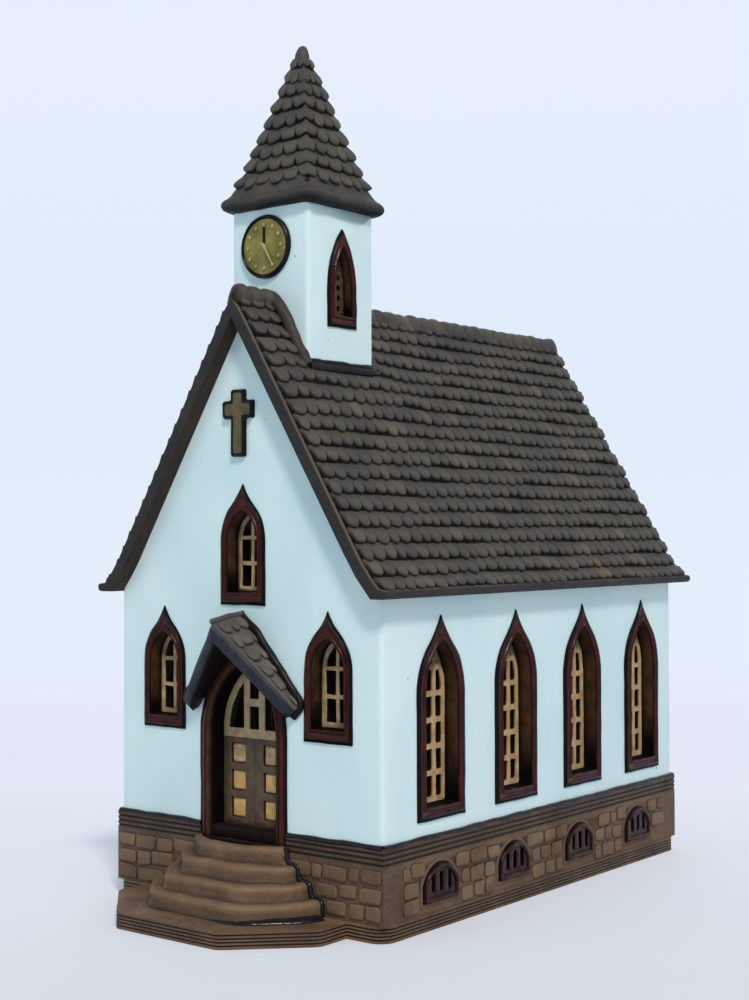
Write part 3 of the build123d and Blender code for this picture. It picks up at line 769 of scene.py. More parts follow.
def make_roof(side, sign):
    """Roof slab with softened verges, a rolled eave and courses of lobed tiles."""
    bm = new_mesh()
    under, over = 12, 24
    inner_run, run = roof_run(0), roof_run(TILE_BED)
    section = [roof_at(inner_run * i / under, 0)[0] for i in range(under + 1)]
    roll = Vector((roof_high.x - EAVE_RADIUS, eave_level + EAVE_RADIUS))
    for turn in (0.0, 0.5, 1.0, 1.5, 2.0, 2.4):
        section.append(roll + Vector((math.sin(turn), -math.cos(turn))) * EAVE_RADIUS)
    slope = [roof_at(run * i / over, TILE_BED - 0.2)[0] for i in range(over, -1, -1)]
    for point in slope:
        point.y -= math.tan(ROOF_PITCH) * (math.hypot(point.x, RIDGE_SOFTNESS) - point.x)
    section += [p for p in slope if p.x < roll.x]
    end = bm.faces.new([bm.verts.new((sign * p.x, roof_low.y, p.y)) for p in section])
    far = verts_of(bmesh.ops.extrude_face_region(bm, geom=[end])["geom"])
    bmesh.ops.translate(bm, vec=(0, roof_high.y - roof_low.y, 0), verts=far)
    face_outwards(bm)
    ends = [e for e in bm.edges if abs(e.verts[0].co.y - e.verts[1].co.y) < TOUCH and e.calc_length() > 1.2]
    round_edges(bm, ends, 1.1, 3)
    for face in bm.faces:
        upward = sign * face.normal.x * math.sin(ROOF_PITCH) + face.normal.z * math.cos(ROOF_PITCH)
        face.material_index = 1 if upward < -0.6 else 0
    shade_points(bm, bm.verts, 0.55)
    shade, tint = marks(bm)
    for vert in bm.verts:
        proud = abs(vert.co.x) * math.sin(ROOF_PITCH) + (vert.co.z - gable_apex) * math.cos(ROOF_PITCH)
        if proud > TILE_BED - 1.0 and roof_low.y + 0.1 < vert.co.y < roof_low.y + VERGE:
            vert[shade], vert[tint] = 0.0, 1.0
    tile_run = run - ROLLED_EAVE
    for course in range(1, COURSES + 1):
        tip = tile_run * course / COURSES

        def place(along, down, lift):
            wave = 0.3 * math.sin(along * 0.09 + course * 1.7) + 0.18 * math.sin(along * 0.23 + course * 2.9)
            point, heading = roof_at(max(0.0, tip + wave + down), TILE_BED)
            if lift > -0.5:
                lift += tower_swell(tip + down, along)
            return Vector((sign * (point.x - heading.y * lift), along, point.y + heading.x * lift))

        rear_end = roof_high.y - 0.9 + 0.7 * (course * 7 % 3 - 1)
        bounds = lobe_bounds(roof_low.y + VERGE, rear_end, LOBES_ALONG + course % 2)
        lay_course(bm, bounds, TILE_LENGTH, bare=1.06 * tile_run / COURSES, butt=1.5, notch=3.0, place=place)
    face_outwards(bm)
    make_piece(bm, "roof_" + side, "roof_clay", (roof_clay, soffit_clay), ("roof_" + side,), crease=55)


def make_ridge(node):
    """Low ridge roll pressed into a row of bumps."""
    cut, bump, radius, turns = 0.6, 6.0, 2.7, 20
    low, high = node_box(node)
    at_front = node == "ridge_front"
    axis = Vector((0, 0, high.z - (3.9 if at_front else 4.7)))
    start = low.y + (0.4 if at_front else -1.0)
    end = high.y + (1.0 if at_front else -0.6)
    bm = new_mesh()
    shade, tint = marks(bm)
    count = round((end - start) / cut)
    bumps = max(2, round((end - start) / bump))
    line = []
    for i in range(count + 1):
        y = start + (end - start) * i / count
        step = bumps * i / count
        swell = abs(math.sin(math.pi * step)) ** 0.5
        close = min(1.0, (y - start + 0.12) / 3.2, (end - y + 0.12) / 2.4)
        vert = bm.verts.new((0, y, axis.z + (radius + 0.95 * swell) * math.sin(close * math.pi / 2) ** 0.6))
        # Darker in the dips between the bumps and towards the ends, partly dark wash and partly painted shade
        vert[shade] = max(0.8 * (1 - min(1.0, swell * 1.7)), 0.6 * (1 - ease(close, 0.2, 1.0)))
        vert[tint] = int(step) * 0.37 % 1.0
        line.append(vert)
    edges = [bm.edges.new(pair) for pair in zip(line, line[1:])]
    bmesh.ops.spin(bm, geom=line + edges, cent=axis, axis=(0, 1, 0), angle=math.tau, steps=turns,
                   use_merge=True)
    bmesh.ops.holes_fill(bm, edges=bm.edges, sides=0)
    wobble(bm, 4, 0.5)
    face_outwards(bm)
    make_piece(bm, node, "roof_clay", (roof_clay,), (node,))


def make_tower():
    """Glazed tower with rounded corners, and the rolls of clay that bed it on the tiles, darkened with
    painted shade, with a dark line along its foot.
    """
    shortest_corner = 10
    bm = copy_node("tower")
    corners = [e for e in bm.edges if all(abs(abs(v.co.x) - tower_high.x) < TOUCH for v in e.verts)
               and abs(e.verts[0].co.z - e.verts[1].co.z) > shortest_corner
               and all(min(v.co.y - tower_low.y, tower_high.y - v.co.y) < TOUCH for v in e.verts)]
    round_edges(bm, corners, 1.3, 4)
    glaze_outside(bm, tower_high.x, tower_low.y, tower_high.y, 1.2)
    make_piece(bm, "tower", "wall_glaze", (wall_glaze, bare_clay), ("tower",))
    bm = new_mesh()
    reach = (tower_high.x + 0.3) / math.cos(ROOF_PITCH)
    ridge_top = node_box("ridge_front")[1].z - 2.6
    for y in (tower_low.y - 0.5, tower_high.y + 0.5):
        for sign in (-1, 1):
            line = [Vector((0, y, ridge_top))]
            for share in (0.12, 0.3, 0.5, 0.75, 1.0):
                swell = 1.5 * math.sin(math.pi * min(1.0, share * 1.25)) - 0.3 + 1.3 * share ** 2
                point = roof_at(reach * share, ROOF_THICKNESS + swell)[0]
                line.append(Vector((sign * point.x, y, point.y)))
            line = smoothed(spread(line, 1.2), 6)
            coil(bm, line, [2.1 - 0.5 * i / len(line) for i in range(len(line))])
    # Painted shade darkens the rolls up the slopes
    shade_points(bm, bm.verts, 0.4)
    foot = roof_at(reach, ROOF_THICKNESS + 1.6)[0].y
    for sign in (-1, 1):
        line = [Vector((sign * tower_high.x, y, foot)) for y in (tower_low.y, tower_high.y - 1.2)]
        # Dark glazed coil along the foot, partly a glaze line and partly painted shadow of the gap under the
        # tower
        glazed = coil(bm, spread(line, 1.5), 0.9)
        bed = [point + Vector((sign * 0.3, 0, -1.5)) for point in line]
        # The bed coil under it is painted dark to read as the shadow of the tiles under the foot
        shade_points(bm, coil(bm, spread(bed, 1.5), 1.3), 0.75)
        finish_around(glazed, 1)
    wobble(bm, 3, 0.3)
    make_piece(bm, "tower_foot_roll", "roof_clay", (roof_clay, dark_glaze), crease=80)


# Spire: its courses, the level of the lowest one, the bare tip above the highest, and the bell-cast foot
SPIRE_COURSES = 9
FIRST_COURSE = 6.4
BARE_TIP = 7.0
BELL_FOOT, BELL_RISE, BELL_CAST = 4, 9, 0.105
SPIRE_TAPER = 0.86
HIP_SHARE = 0.66
spire_rise = spire_high.z - rim_low.z
spire_lean = math.atan2(SPIRE_TAPER * rim_high.x, spire_rise)


def bell_share(level):
    """Half width of the spire as a share of its rim, cast outwards near its foot."""
    cast = max(0.0, 1 - (level - BELL_FOOT) / BELL_RISE) ** 2
    return 0.9 - SPIRE_TAPER * level / spire_rise + BELL_CAST * cast


def spire_half(level):
    """Half of the spire's width under its tiles at a level above the foot of the rim."""
    return max(0.7, rim_high.x * bell_share(level) - 0.35)


def on_spire(along, level, out):
    """Point at a place round the spire, counted in corners, at a level and out of its face."""
    corners = [Vector((1, -1)), Vector((1, 1)), Vector((-1, 1)), Vector((-1, -1))]
    side = int(along) % 4
    share = along - int(along)
    first, second = corners[side], corners[(side + 1) % 4]
    corner = first if share < 0.5 else second
    normal = ((first + second) / 2).lerp(corner * HIP_SHARE, ease(abs(share - 0.5), 0.34, 0.5))
    spot = first.lerp(second, share) * spire_half(level) + normal * math.cos(spire_lean) * out
    return Vector((spot.x, spot.y + tower_middle, rim_low.z + level + math.sin(spire_lean) * out))


def make_spire():
    """Spire of lobed courses that fold round its hips, with a rounded tip."""
    lobe_width, core_foot, core_cuts = 6.0, 6.0, 12
    pitch = (spire_rise - BARE_TIP - FIRST_COURSE) / (SPIRE_COURSES - 1)
    bm = new_mesh()
    rings = []
    for i in range(core_cuts + 1):
        level = core_foot + (spire_rise - 5 - core_foot) * i / core_cuts
        ring = [bm.verts.new(on_spire(corner, level, -0.4)) for corner in range(4)]
        rings.append([bm.edges.new((ring[corner - 1], ring[corner])) for corner in range(4)])
    for lower, upper in zip(rings, rings[1:]):
        bmesh.ops.bridge_loops(bm, edges=lower + upper)
    for end in (rings[0], rings[-1]):
        bmesh.ops.contextual_create(bm, geom=end)
    # The core seen between the courses is painted dark as shade
    shade_points(bm, bm.verts, 0.7)
    for course in range(SPIRE_COURSES):
        tip = FIRST_COURSE + course * pitch
        count = max(1, round(2 * (spire_half(tip) + 0.6) / lobe_width))
        hip = HIP_SHARE / count if count > 1 else 0.5
        ring = [corner + hip + (1 - 2 * hip) * i / max(1, count - 1)
                for corner in range(4) for i in range(count)]
        ring.append(ring[0] + 4)
        last = len(ring) - 1
        bounds = [b + (potter.uniform(-0.1, 0.1) / count if 0 < i < last else 0) for i, b in enumerate(ring)]

        def place(along, down, lift):
            wave = 0.35 * math.sin(along * 2.1 + course * 1.3) + 1.3 * ease(abs(along % 1 - 0.5), 0.36, 0.5)
            proud = (lift - 0.5) * (1 - 0.35 * course / SPIRE_COURSES)
            level = min(tip + wave - down * math.cos(spire_lean), spire_rise - BARE_TIP / 2)
            return on_spire(along % 4, level, proud)

        lay_course(bm, bounds, length=7.6, bare=pitch * 1.1, butt=1.7, notch=2.3, place=place)
    knob = bmesh.ops.create_uvsphere(bm, u_segments=12, v_segments=8, radius=1.0)["verts"]
    bmesh.ops.scale(bm, vec=(2.3, 2.3, 4.2), verts=knob)
    bmesh.ops.translate(bm, vec=(0, tower_middle, spire_high.z - 3.7), verts=knob)
    wobble(bm, 3, 0.3)
    face_outwards(bm)
    make_piece(bm, "spire", "roof_clay", (roof_clay,), ("spire",), crease=55)


def rounded_square(half_x, half_y, radius, count=6):
    """Plan of a square with rounded corners."""
    longest, cuts = 5, 8
    points = []
    for quarter, (sx, sy) in enumerate(((1, -1), (1, 1), (-1, 1), (-1, -1))):
        centre = Vector((sx * (half_x - radius), sy * (half_y - radius)))
        start = -math.pi / 2 + quarter * math.pi / 2
        for i in range(count + 1):
            angle = start + i * math.pi / 2 / count
            points.append(centre + Vector((math.cos(angle), math.sin(angle))) * radius)
    dense = []
    for index, point in enumerate(points):
        dense.append(point)
        following = points[(index + 1) % len(points)]
        if (following - point).length > longest:
            dense += [point.lerp(following, i / cuts) for i in range(1, cuts)]
    return dense


# Rolled rim: half width as a share of the whole, level and painted shade, black under the roll
RIM_DEPTH = 8.0
RIM_PROFILE = [
    (0.8, -0.05, 1), (0.9, 0.0, 1), (0.94, 0.2, 0.9), (0.98, 0.75, 0.7), (1.0, 1.7, 0.5), (1.0, 2.5, 0.3),
    (0.985, 3.3, 0.3), (0.95, 4.0, 0.5),
]


def make_rim():
    """Rolled rim that sweeps up into the foot of the spire."""
    half_y = (rim_high.y - rim_low.y) / 2
    outer = rounded_square(rim_high.x, half_y, 3.2)
    inner = rounded_square(rim_high.x - RIM_DEPTH, half_y - RIM_DEPTH, 1.2)
    sweep = [(bell_share(level) - 0.01, level, 0.2) for level in (4.7, 5.4, 6.2, 7.2, 8.4)] + [(0.7, 8.2, 1)]
    profile = [((1 - half) * rim_high.x / RIM_DEPTH, level, 0, dark)
               for half, level, dark in RIM_PROFILE + sweep]
    bm = new_mesh()
    moulded_ring(bm, Matrix.Translation((0, tower_middle, rim_low.z)), outer, inner, profile)
    wobble(bm, 6, 0.5)
    make_piece(bm, "spire_rim", "roof_clay", (roof_clay,), ("spire_rim",), crease=60)


# Hood over the door: pitch, half span, thickness, forward tilt, courses, and its ridge above the wall's foot
CANOPY_PITCH = math.radians(48.8)
CANOPY_SPAN = 21.8
CANOPY_THICKNESS = 5.0
CANOPY_TILT = math.radians(8)
CANOPY_COURSES = 6
CANOPY_RIDGE = 61.2


def make_canopy(side, sign):
    """Half of the hood: rounded slate fascia, underside darkened with painted shade, lobed courses and a dark
    roll at the wall.
    """
    rise, level = math.sin(CANOPY_PITCH), math.cos(CANOPY_PITCH)
    run = CANOPY_SPAN / level
    turn = Matrix(((level, 0, -rise), (0, 1, 0), (rise, 0, level))).transposed().to_4x4()
    tilt = Matrix.Rotation(CANOPY_TILT, 4, "X")
    hang = Matrix.Translation((0, front_face, wall_foot + CANOPY_RIDGE)) @ tilt @ turn
    bm = new_mesh()
    outline = [(-6, 8), (run, 8), (run, -7.5), (-6, -14.5 - 6 * 7 / run)]
    face = bm.faces.new([bm.verts.new((u, v, -0.5)) for u, v in outline])
    body = verts_of(bmesh.ops.extrude_face_region(bm, geom=[face])["geom"])
    bmesh.ops.translate(bm, vec=(0, 0, 0.5 - CANOPY_THICKNESS), verts=body)
    face_outwards(bm)
    round_edges(bm, [e for e in bm.edges if all(v.co.y < -1 for v in e.verts)], 1.9, 5)
    long_edges = [e for e in bm.edges if e.calc_length() > 12]
    bmesh.ops.subdivide_edges(bm, edges=long_edges, cuts=8, use_grid_fill=True)
    for face in bm.faces:
        face.material_index = 1 if face.normal.y < -0.2 else 0
        # Painted shade on the downward faces of the underside
        if face.normal.z < -0.7:
            shade_points(bm, face.verts, 0.9)
    for course in range(1, CANOPY_COURSES + 1):
        reach = 12.6 - 7.0 * course / CANOPY_COURSES
        tip = run * course / CANOPY_COURSES - 0.4

        def place(along, down, lift):
            return Vector((tip + down, along, lift - 0.9))

        bounds = lobe_bounds(-reach, 3.0, max(3, round((reach + 3) / 3.7)))
        lay_course(bm, bounds, length=7.4, bare=run / CANOPY_COURSES, butt=1.2, notch=1.7, place=place)
    tuck = rise * math.tan(CANOPY_TILT)
    bend = ((-4, -1.0), (2, -0.5), (7, 0.7), (run + 0.2, 0.7), (run + 0.6, 0.6 - CANOPY_THICKNESS))
    line = [Vector((u, -0.5 - u * tuck, w)) for u, w in bend]
    finish_around(coil(bm, smoothed(spread(line, 1.2), 2), 1.1), 2)
    bmesh.ops.transform(bm, matrix=hang, verts=bm.verts)
    coil(bm, spread([hang @ Vector((0, -13.4, -0.4)), hang @ Vector((0, 2, -0.4))], 1.5), 0.9)
    wobble(bm, 5, 0.35)
    for point, normal in (((0, 0, 0), (-1, 0, 0)), ((0, front_face + 0.4, 0), (0, 1, 0))):
        bmesh.ops.holes_fill(bm, edges=slice_mesh(bm, point, normal, clear_outer=True), sides=0)
    if sign < 0:
        bmesh.ops.scale(bm, vec=(-1, 1, 1), verts=bm.verts)
    face_outwards(bm)
    finishes = (canopy_tiles, canopy_fascia, dark_glaze)
    make_piece(bm, "canopy_" + side, "canopy_clay", finishes, ("canopy_" + side,), crease=55)


# Cellar windows: half width, height and rise of the head, and their foot above the base
CELLAR_HALF, CELLAR_HEIGHT, CELLAR_RISE, CELLAR_FOOT = 8.0, 10.4, 5.6, 3.0
CELLAR_RADIUS = (CELLAR_HALF ** 2 + CELLAR_RISE ** 2) / (2 * CELLAR_RISE)
CELLARS = 4


def cellar_outline(grow, count=12):
    """Segment-headed outline of a cellar window, grown by a margin, from the middle of its foot."""
    centre = Vector((0, CELLAR_HEIGHT - CELLAR_RADIUS))
    swing = math.asin(CELLAR_HALF / CELLAR_RADIUS)
    points = [Vector(((CELLAR_HALF + grow) * i / FOOT_CUTS, -grow)) for i in range(FOOT_CUTS + 1)]
    for i in range(count + 1):
        angle = swing * (1 - i / count)
        points.append(centre + Vector((math.sin(angle), math.cos(angle))) * (CELLAR_RADIUS + grow))
    return whole(points)


def cellar_reach(z, grow):
    """Half width of a grown cellar outline at a height above its foot, or None outside it."""
    if z < -grow or z > CELLAR_HEIGHT + grow:
        return None
    up = z - (CELLAR_HEIGHT - CELLAR_RADIUS)
    if up < 0:
        return CELLAR_HALF + grow
    return min(CELLAR_HALF + grow, math.sqrt(max(0.0, (CELLAR_RADIUS + grow) ** 2 - up ** 2)))


def cellar_places(side):
    """Places of the cellar windows along a side of the house."""
    low, high = node_box("cellar_windows_" + side)
    first, last = low.y + CELLAR_HALF, high.y - CELLAR_HALF
    return [first + (last - first) * i / (CELLARS - 1) for i in range(CELLARS)]


def lay_stones(bm, place, spans, rows, width, painted_side_shade):
    """Flat irregular stones with dark outlines, between the limits of each row in wall coordinates, darkened
    at least by the painted side shade.
    """
    shade, tint = marks(bm)
    faces = []
    for row_low, row_high in rows:
        for start, end in spans((row_low + row_high) / 2):
            length = end - start
            count = max(1, round(length / potter.uniform(0.85 * width, 1.15 * width)))
            cuts = [start + length * i / count + (potter.uniform(-1.7, 1.7) if 0 < i < count else 0)
                    for i in range(count + 1)]
            for left, right in zip(cuts, cuts[1:]):
                gap = potter.uniform(0.02, 0.14)
                wide = right - left - 2 * gap
                tall = row_high - row_low - 2 * gap
                value = potter.random() * 0.7
                drop = potter.uniform(-0.35, 0.45)
                if wide < 1.6 or value < 0.03:
                    continue
                corners = []
                for cx, cy, dx, dy in ((0, 0, 1, 1), (1, 0, -1, 1), (1, 1, -1, -1), (0, 1, 1, -1)):
                    trim = potter.uniform(0.35, 0.9)
                    x = left + gap + wide * cx + dx * potter.uniform(0, 0.45)
                    y = row_low + drop + gap + tall * cy + dy * potter.uniform(0, 0.55)
                    across = Vector((x + dx * trim, y))
                    upright = Vector((x, y + dy * trim))
                    corners += [upright, across] if cx == cy else [across, upright]
                verts = [bm.verts.new(place @ Vector((p.x, p.y, 0.03))) for p in corners]
                for vert in verts:
                    vert[tint] = value
                    vert[shade] = 0.9
                faces.append(bm.faces.new(verts))
    for thickness, depth, dark in ((0.38, 0.0, 1.0), (0.2, 0.36, 0.15), (0.5, 0.12, 0.0)):
        bmesh.ops.inset_individual(bm, faces=faces, thickness=thickness, depth=depth)
        for face in faces:
            shade_points(bm, face.verts, max(dark, painted_side_shade))


def fill_grooves(bm, levels, height, amount):
    """Bring the floors of the grooves at the given levels outwards."""
    floors = [face for face in bm.faces if abs(face.normal.z) < 0.3
              and any(abs(face.calc_center_median().z - level) < height for level in levels)]
    push_faces(floors, amount)


# Plinth: height of its cap and of the lines on it, rows of stones, and their limits beside the steps by level
CAP_HEIGHT, CAP_LINE = 5.7, 1.425
STONE_ROWS = ((0.3, 5.2), (5.2, 10.0), (10.0, 14.6))
STEP_LIMITS = ((6, 31.0), (10, 27.0), (20, 18.0))
STONE_MARGIN = 0.4
HOOD_PROFILE = [(0.0, -0.1, 0, 0.7), (0.14, 0.04, 0, 0.6), (0.32, 0.22, 0, 0.1), (0.7, 0.28, 0, 0),
                (0.9, 0.2, 0, 0.4), (1.0, -0.3, 0, 1)]


def make_plinth(node, outward):
    """Stone band with a grooved cap; the joints between the stones keep a dark wash, and the front is
    darkened with painted shade.
    """
    low, high = node_box(node)
    front = abs(outward.y) > 0.5
    # Painted shade: the front of the plinth is darker than its sides
    painted_side_shade = 0.3 if front else 0.06
    cap_foot = wall_foot - CAP_HEIGHT
    bm = copy_node(node)
    fill_grooves(bm, [cap_foot + CAP_LINE * i for i in (1, 2, 3)], 0.2, 0.42)
    for below in (0.2, 0.6):
        slice_mesh(bm, (0, 0, cap_foot - below), UP)
    cap_edges = [e for e in sharp_edges(bm, 40) if min(v.co.z for v in e.verts) > band_low.z + 14.5]
    round_edges(bm, cap_edges, 0.16, 2)
    shade = marks(bm)[0]
    for vert in bm.verts:
        cap = vert.co.z > cap_foot - 0.1
        line = abs(((vert.co.z - cap_foot) / CAP_LINE + 0.5) % 1 - 0.5) < 0.2
        groove = cap and line and vert.co.z < wall_foot - 0.6
        vert[shade] = 0.95 if groove else 0.45 if cap else painted_side_shade
    if front:
        origin = (0, low.y if outward.y < 0 else high.y, low.z)
        cellars = []
    else:
        origin = (low.x if outward.x < 0 else high.x, 0, low.z)
        cellars = cellar_places("left" if outward.x < 0 else "right")
    place = wall_matrix(outward, origin)
    across = UP.cross(outward)
    cellars = sorted(across.y * along for along in cellars)
    start, end = sorted((low.dot(across), high.dot(across)))
    start, end = start + STONE_MARGIN, end - STONE_MARGIN

    def spans(level):
        if node == "plinth_front":
            limit = next(limit for top, limit in STEP_LIMITS if level < top)
            return [(start, -limit), (limit, end)]
        reach = cellar_reach(level - CELLAR_FOOT, 1.7)
        if reach is None or not cellars:
            return [(start, end)]
        places = [start - reach] + cellars + [end + reach]
        return [(a + reach, b - reach) for a, b in zip(places, places[1:]) if b - a > 2 * reach + 2]

    lay_stones(bm, place, spans, STONE_ROWS, 7.6 if front else 6.0, painted_side_shade - 0.1)
    for along in cellars:
        hood = place @ Matrix.Translation((along, CELLAR_FOOT, 0))
        moulded_ring(bm, hood, cellar_outline(1.4), cellar_outline(0.1), HOOD_PROFILE)
    make_piece(bm, node, "stone_clay", (stone_clay,), (node,))


# Height of each line round the edge of the base
BASE_LINE = 0.92


def make_base():
    """Floor slab with grooved edge, dark in its grooves."""
    bm = copy_node("base_slab")
    foot = node_box("base_slab")[0].z
    fill_grooves(bm, [foot + BASE_LINE * i for i in (1, 2, 3, 4)], 0.15, 0.38)
    round_edges(bm, sharp_edges(bm, 40), 0.14, 2)
    shade = marks(bm)[0]
    for vert in bm.verts:
        line = abs(((vert.co.z - foot) / BASE_LINE + 0.5) % 1 - 0.5) < 0.22
        vert[shade] = 0.9 if line and 0.4 < vert.co.z < 4.2 else 0.15
    make_piece(bm, "base_slab", "stone_clay", (stone_clay,), ("base_slab",))


# Steps: tiers, rise, half width and reach of the top step and how much each lower one is wider and deeper
STEP_TIERS = 4
STEP_RISE = 17.2 / STEP_TIERS
STEP_BACK = front_face - 0.8
STEP_HALF, STEP_WIDER = 17.0, 4.3
STEP_REACH, STEP_DEEPER = 7.5, 4.5
# Profile of a step: growth, share of its rise, painted shade at the foot of the riser, and how much it is
# rubbed
STEP_PROFILE = (
    (0.3, 0.0, 0.55, 0), (-0.2, 0.2, 0.3, 0), (-0.3, 0.45, 0.12, 0.4), (-0.1, 0.7, 0, 0.9),
    (-0.4, 0.88, 0, 1), (-1.1, 1.0, 0, 0.9), (-2.4, 1.03, 0.08, 0.4),
)


def step_outline(tier, grow):
    """Plan of one step from its left end round to its right end, with softened corners."""
    half = STEP_HALF + tier * STEP_WIDER + grow
    reach = STEP_REACH + tier * STEP_DEEPER + grow
    corner = reach * 0.28
    front = half * 0.56
    plan = [(-half, 0.6), (-half, -corner), (-front, -reach), (front, -reach), (half, -corner), (half, 0.6)]
    points = []
    for (x0, y0), (x1, y1), count in zip(plan, plan[1:], (4, 9, 14, 9, 4)):
        points += [Vector((x0 + (x1 - x0) * i / count, y0 + (y1 - y0) * i / count)) for i in range(count)]
    points.append(Vector(plan[-1]))
    return smoothed(points, 4)


def make_steps():
    """Worn steps with hollow risers and rolled noses, as one stack of loops."""
    bm = new_mesh()
    shade, tint = marks(bm)
    loops = []
    foot = node_box("front_steps")[0].z
    for tier in range(STEP_TIERS - 1, -1, -1):
        low = foot + (STEP_TIERS - 1 - tier) * STEP_RISE
        for grow, share, dark, rubbed in STEP_PROFILE:
            outline = step_outline(tier, grow)
            verts = [bm.verts.new((p.x, STEP_BACK + p.y, low + STEP_RISE * share)) for p in outline]
            for vert in verts:
                vert[shade] = dark
                # The rubbed tint grows towards the right end, where the key light falls: partly wear and
                # partly painted light
                vert[tint] = rubbed * (0.35 + 0.4 * ease(vert.co.x, -18, 20))
            loops.append([bm.edges.new(pair) for pair in zip(verts, verts[1:])])
    for lower, upper in zip(loops, loops[1:]):
        bmesh.ops.bridge_loops(bm, edges=lower + upper)
    bmesh.ops.holes_fill(bm, edges=[e for e in bm.edges if e.is_boundary], sides=0)
    face_outwards(bm)
    for vert in bm.verts:
        if vert.co.y < STEP_BACK and vert.co.z > foot + 0.5:
            vert.co += noise.noise_vector(vert.co / 9) * 0.6 + noise.noise_vector(vert.co / 2.5) * 0.12
    make_piece(bm, "front_steps", "stone_clay", (stone_clay,), ("front_steps",), crease=60)


def make_pooled_glaze():
    """Dark glaze that has run together round the steps and along the foot of the walls."""
    bm = new_mesh()
    foot = node_box("front_steps")[0].z
    line = step_outline(STEP_TIERS - 1, 0.3)[6:-2]
    line = [Vector((p.x, STEP_BACK + p.y, foot)) for p in line]
    coil(bm, line, [0.35 + 2.9 * ease(p.x, 4, 28) for p in line])
    for vert in bm.verts:
        vert.co.z = foot + max(-0.1, (vert.co.z - foot) * 0.36)
    side_line = []
    for tier in range(STEP_TIERS):
        level = foot + (STEP_TIERS - tier) * STEP_RISE
        x = STEP_HALF + 0.2 + tier * STEP_WIDER
        side_line += [Vector((x, STEP_BACK - 0.3, level)), Vector((x, STEP_BACK - 0.3, level - STEP_RISE))]
    coil(bm, smoothed(spread(side_line, 0.8), 5), 0.8)
    level, side = wall_foot + 0.05, half_house + 0.25
    front, rear = front_face - 0.3, rear_face + 0.3
    beside_door, beside_arch = 16.4, 25
    runs = [((-side, front), (-beside_door, front)), ((beside_door, front), (side, front)),
            ((side, front), (side, rear)), ((-side, front), (-side, rear)),
            ((-side, rear), (-beside_arch, rear)), ((beside_arch, rear), (side, rear))]
    for start, end in runs:
        coil(bm, spread([Vector((*start, level)), Vector((*end, level))], 2.2), 0.75, 8)
    wobble(bm, 6, 0.3)
    make_piece(bm, "pooled_glaze", "dark_glaze", (pooled_glaze,), crease=80)


# Border of a cellar plate
PLATE_PROFILE = [(0.0, -0.4, 1, 0), (0.02, 0.15, 1, 0), (0.2, 0.5, 2, 0), (0.5, 0.6, 0, 0),
                 (0.9, 0.3, 1, 0), (1.0, -0.2, 1, 0)]


def make_cellars(side):
    """Slotted cellar plates with a raised border."""
    node = "cellar_windows_" + side
    low, high = node_box(node)
    face = high.x if side == "right" else low.x
    bm = copy_node(node)
    round_edges(bm, sharp_edges(bm, 40), 0.25, 2)
    for part in bm.faces:
        part.material_index = 1 if abs(part.calc_center_median().x - face) > 0.5 else 0
    for y in cellar_places(side):
        place = wall_matrix(SIDES[side], (face, y, low.z))
        moulded_ring(bm, place, cellar_outline(-0.05), cellar_outline(-1.5), PLATE_PROFILE)
    wobble(bm, 3, 0.2)
    make_piece(bm, node, "frame_glaze", (frame_band, frame_outline, frame_groove), (node,))


# Door opening: half width, height and rise of its arch, and the band of its frame
DOOR_HALF, DOOR_HEIGHT, DOOR_RISE, DOOR_BAND = 12.4, 46.9, 20.0, 4.1
# Profile of the door frame: share of the way in, height, finish and shade, its reveal turning black with
# painted shade
DOOR_PROFILE = [
    (0.0, -0.2, 0, 0), (0.01, 0.5, 0, 0), (0.16, 0.75, 0, 0), (0.2, 0.6, 2, 0), (0.28, 1.0, 2, 0),
    (0.44, 1.15, 2, 0), (0.5, 0.8, 0, 0), (0.58, 1.0, 3, 0.1), (0.74, 0.8, 3, 0.3), (0.88, 0.3, 3, 0.7),
    (1.0, -0.5, 3, 1), (1.0, -1.6, 3, 1), (1.0, -4.6, 3, 1),
]


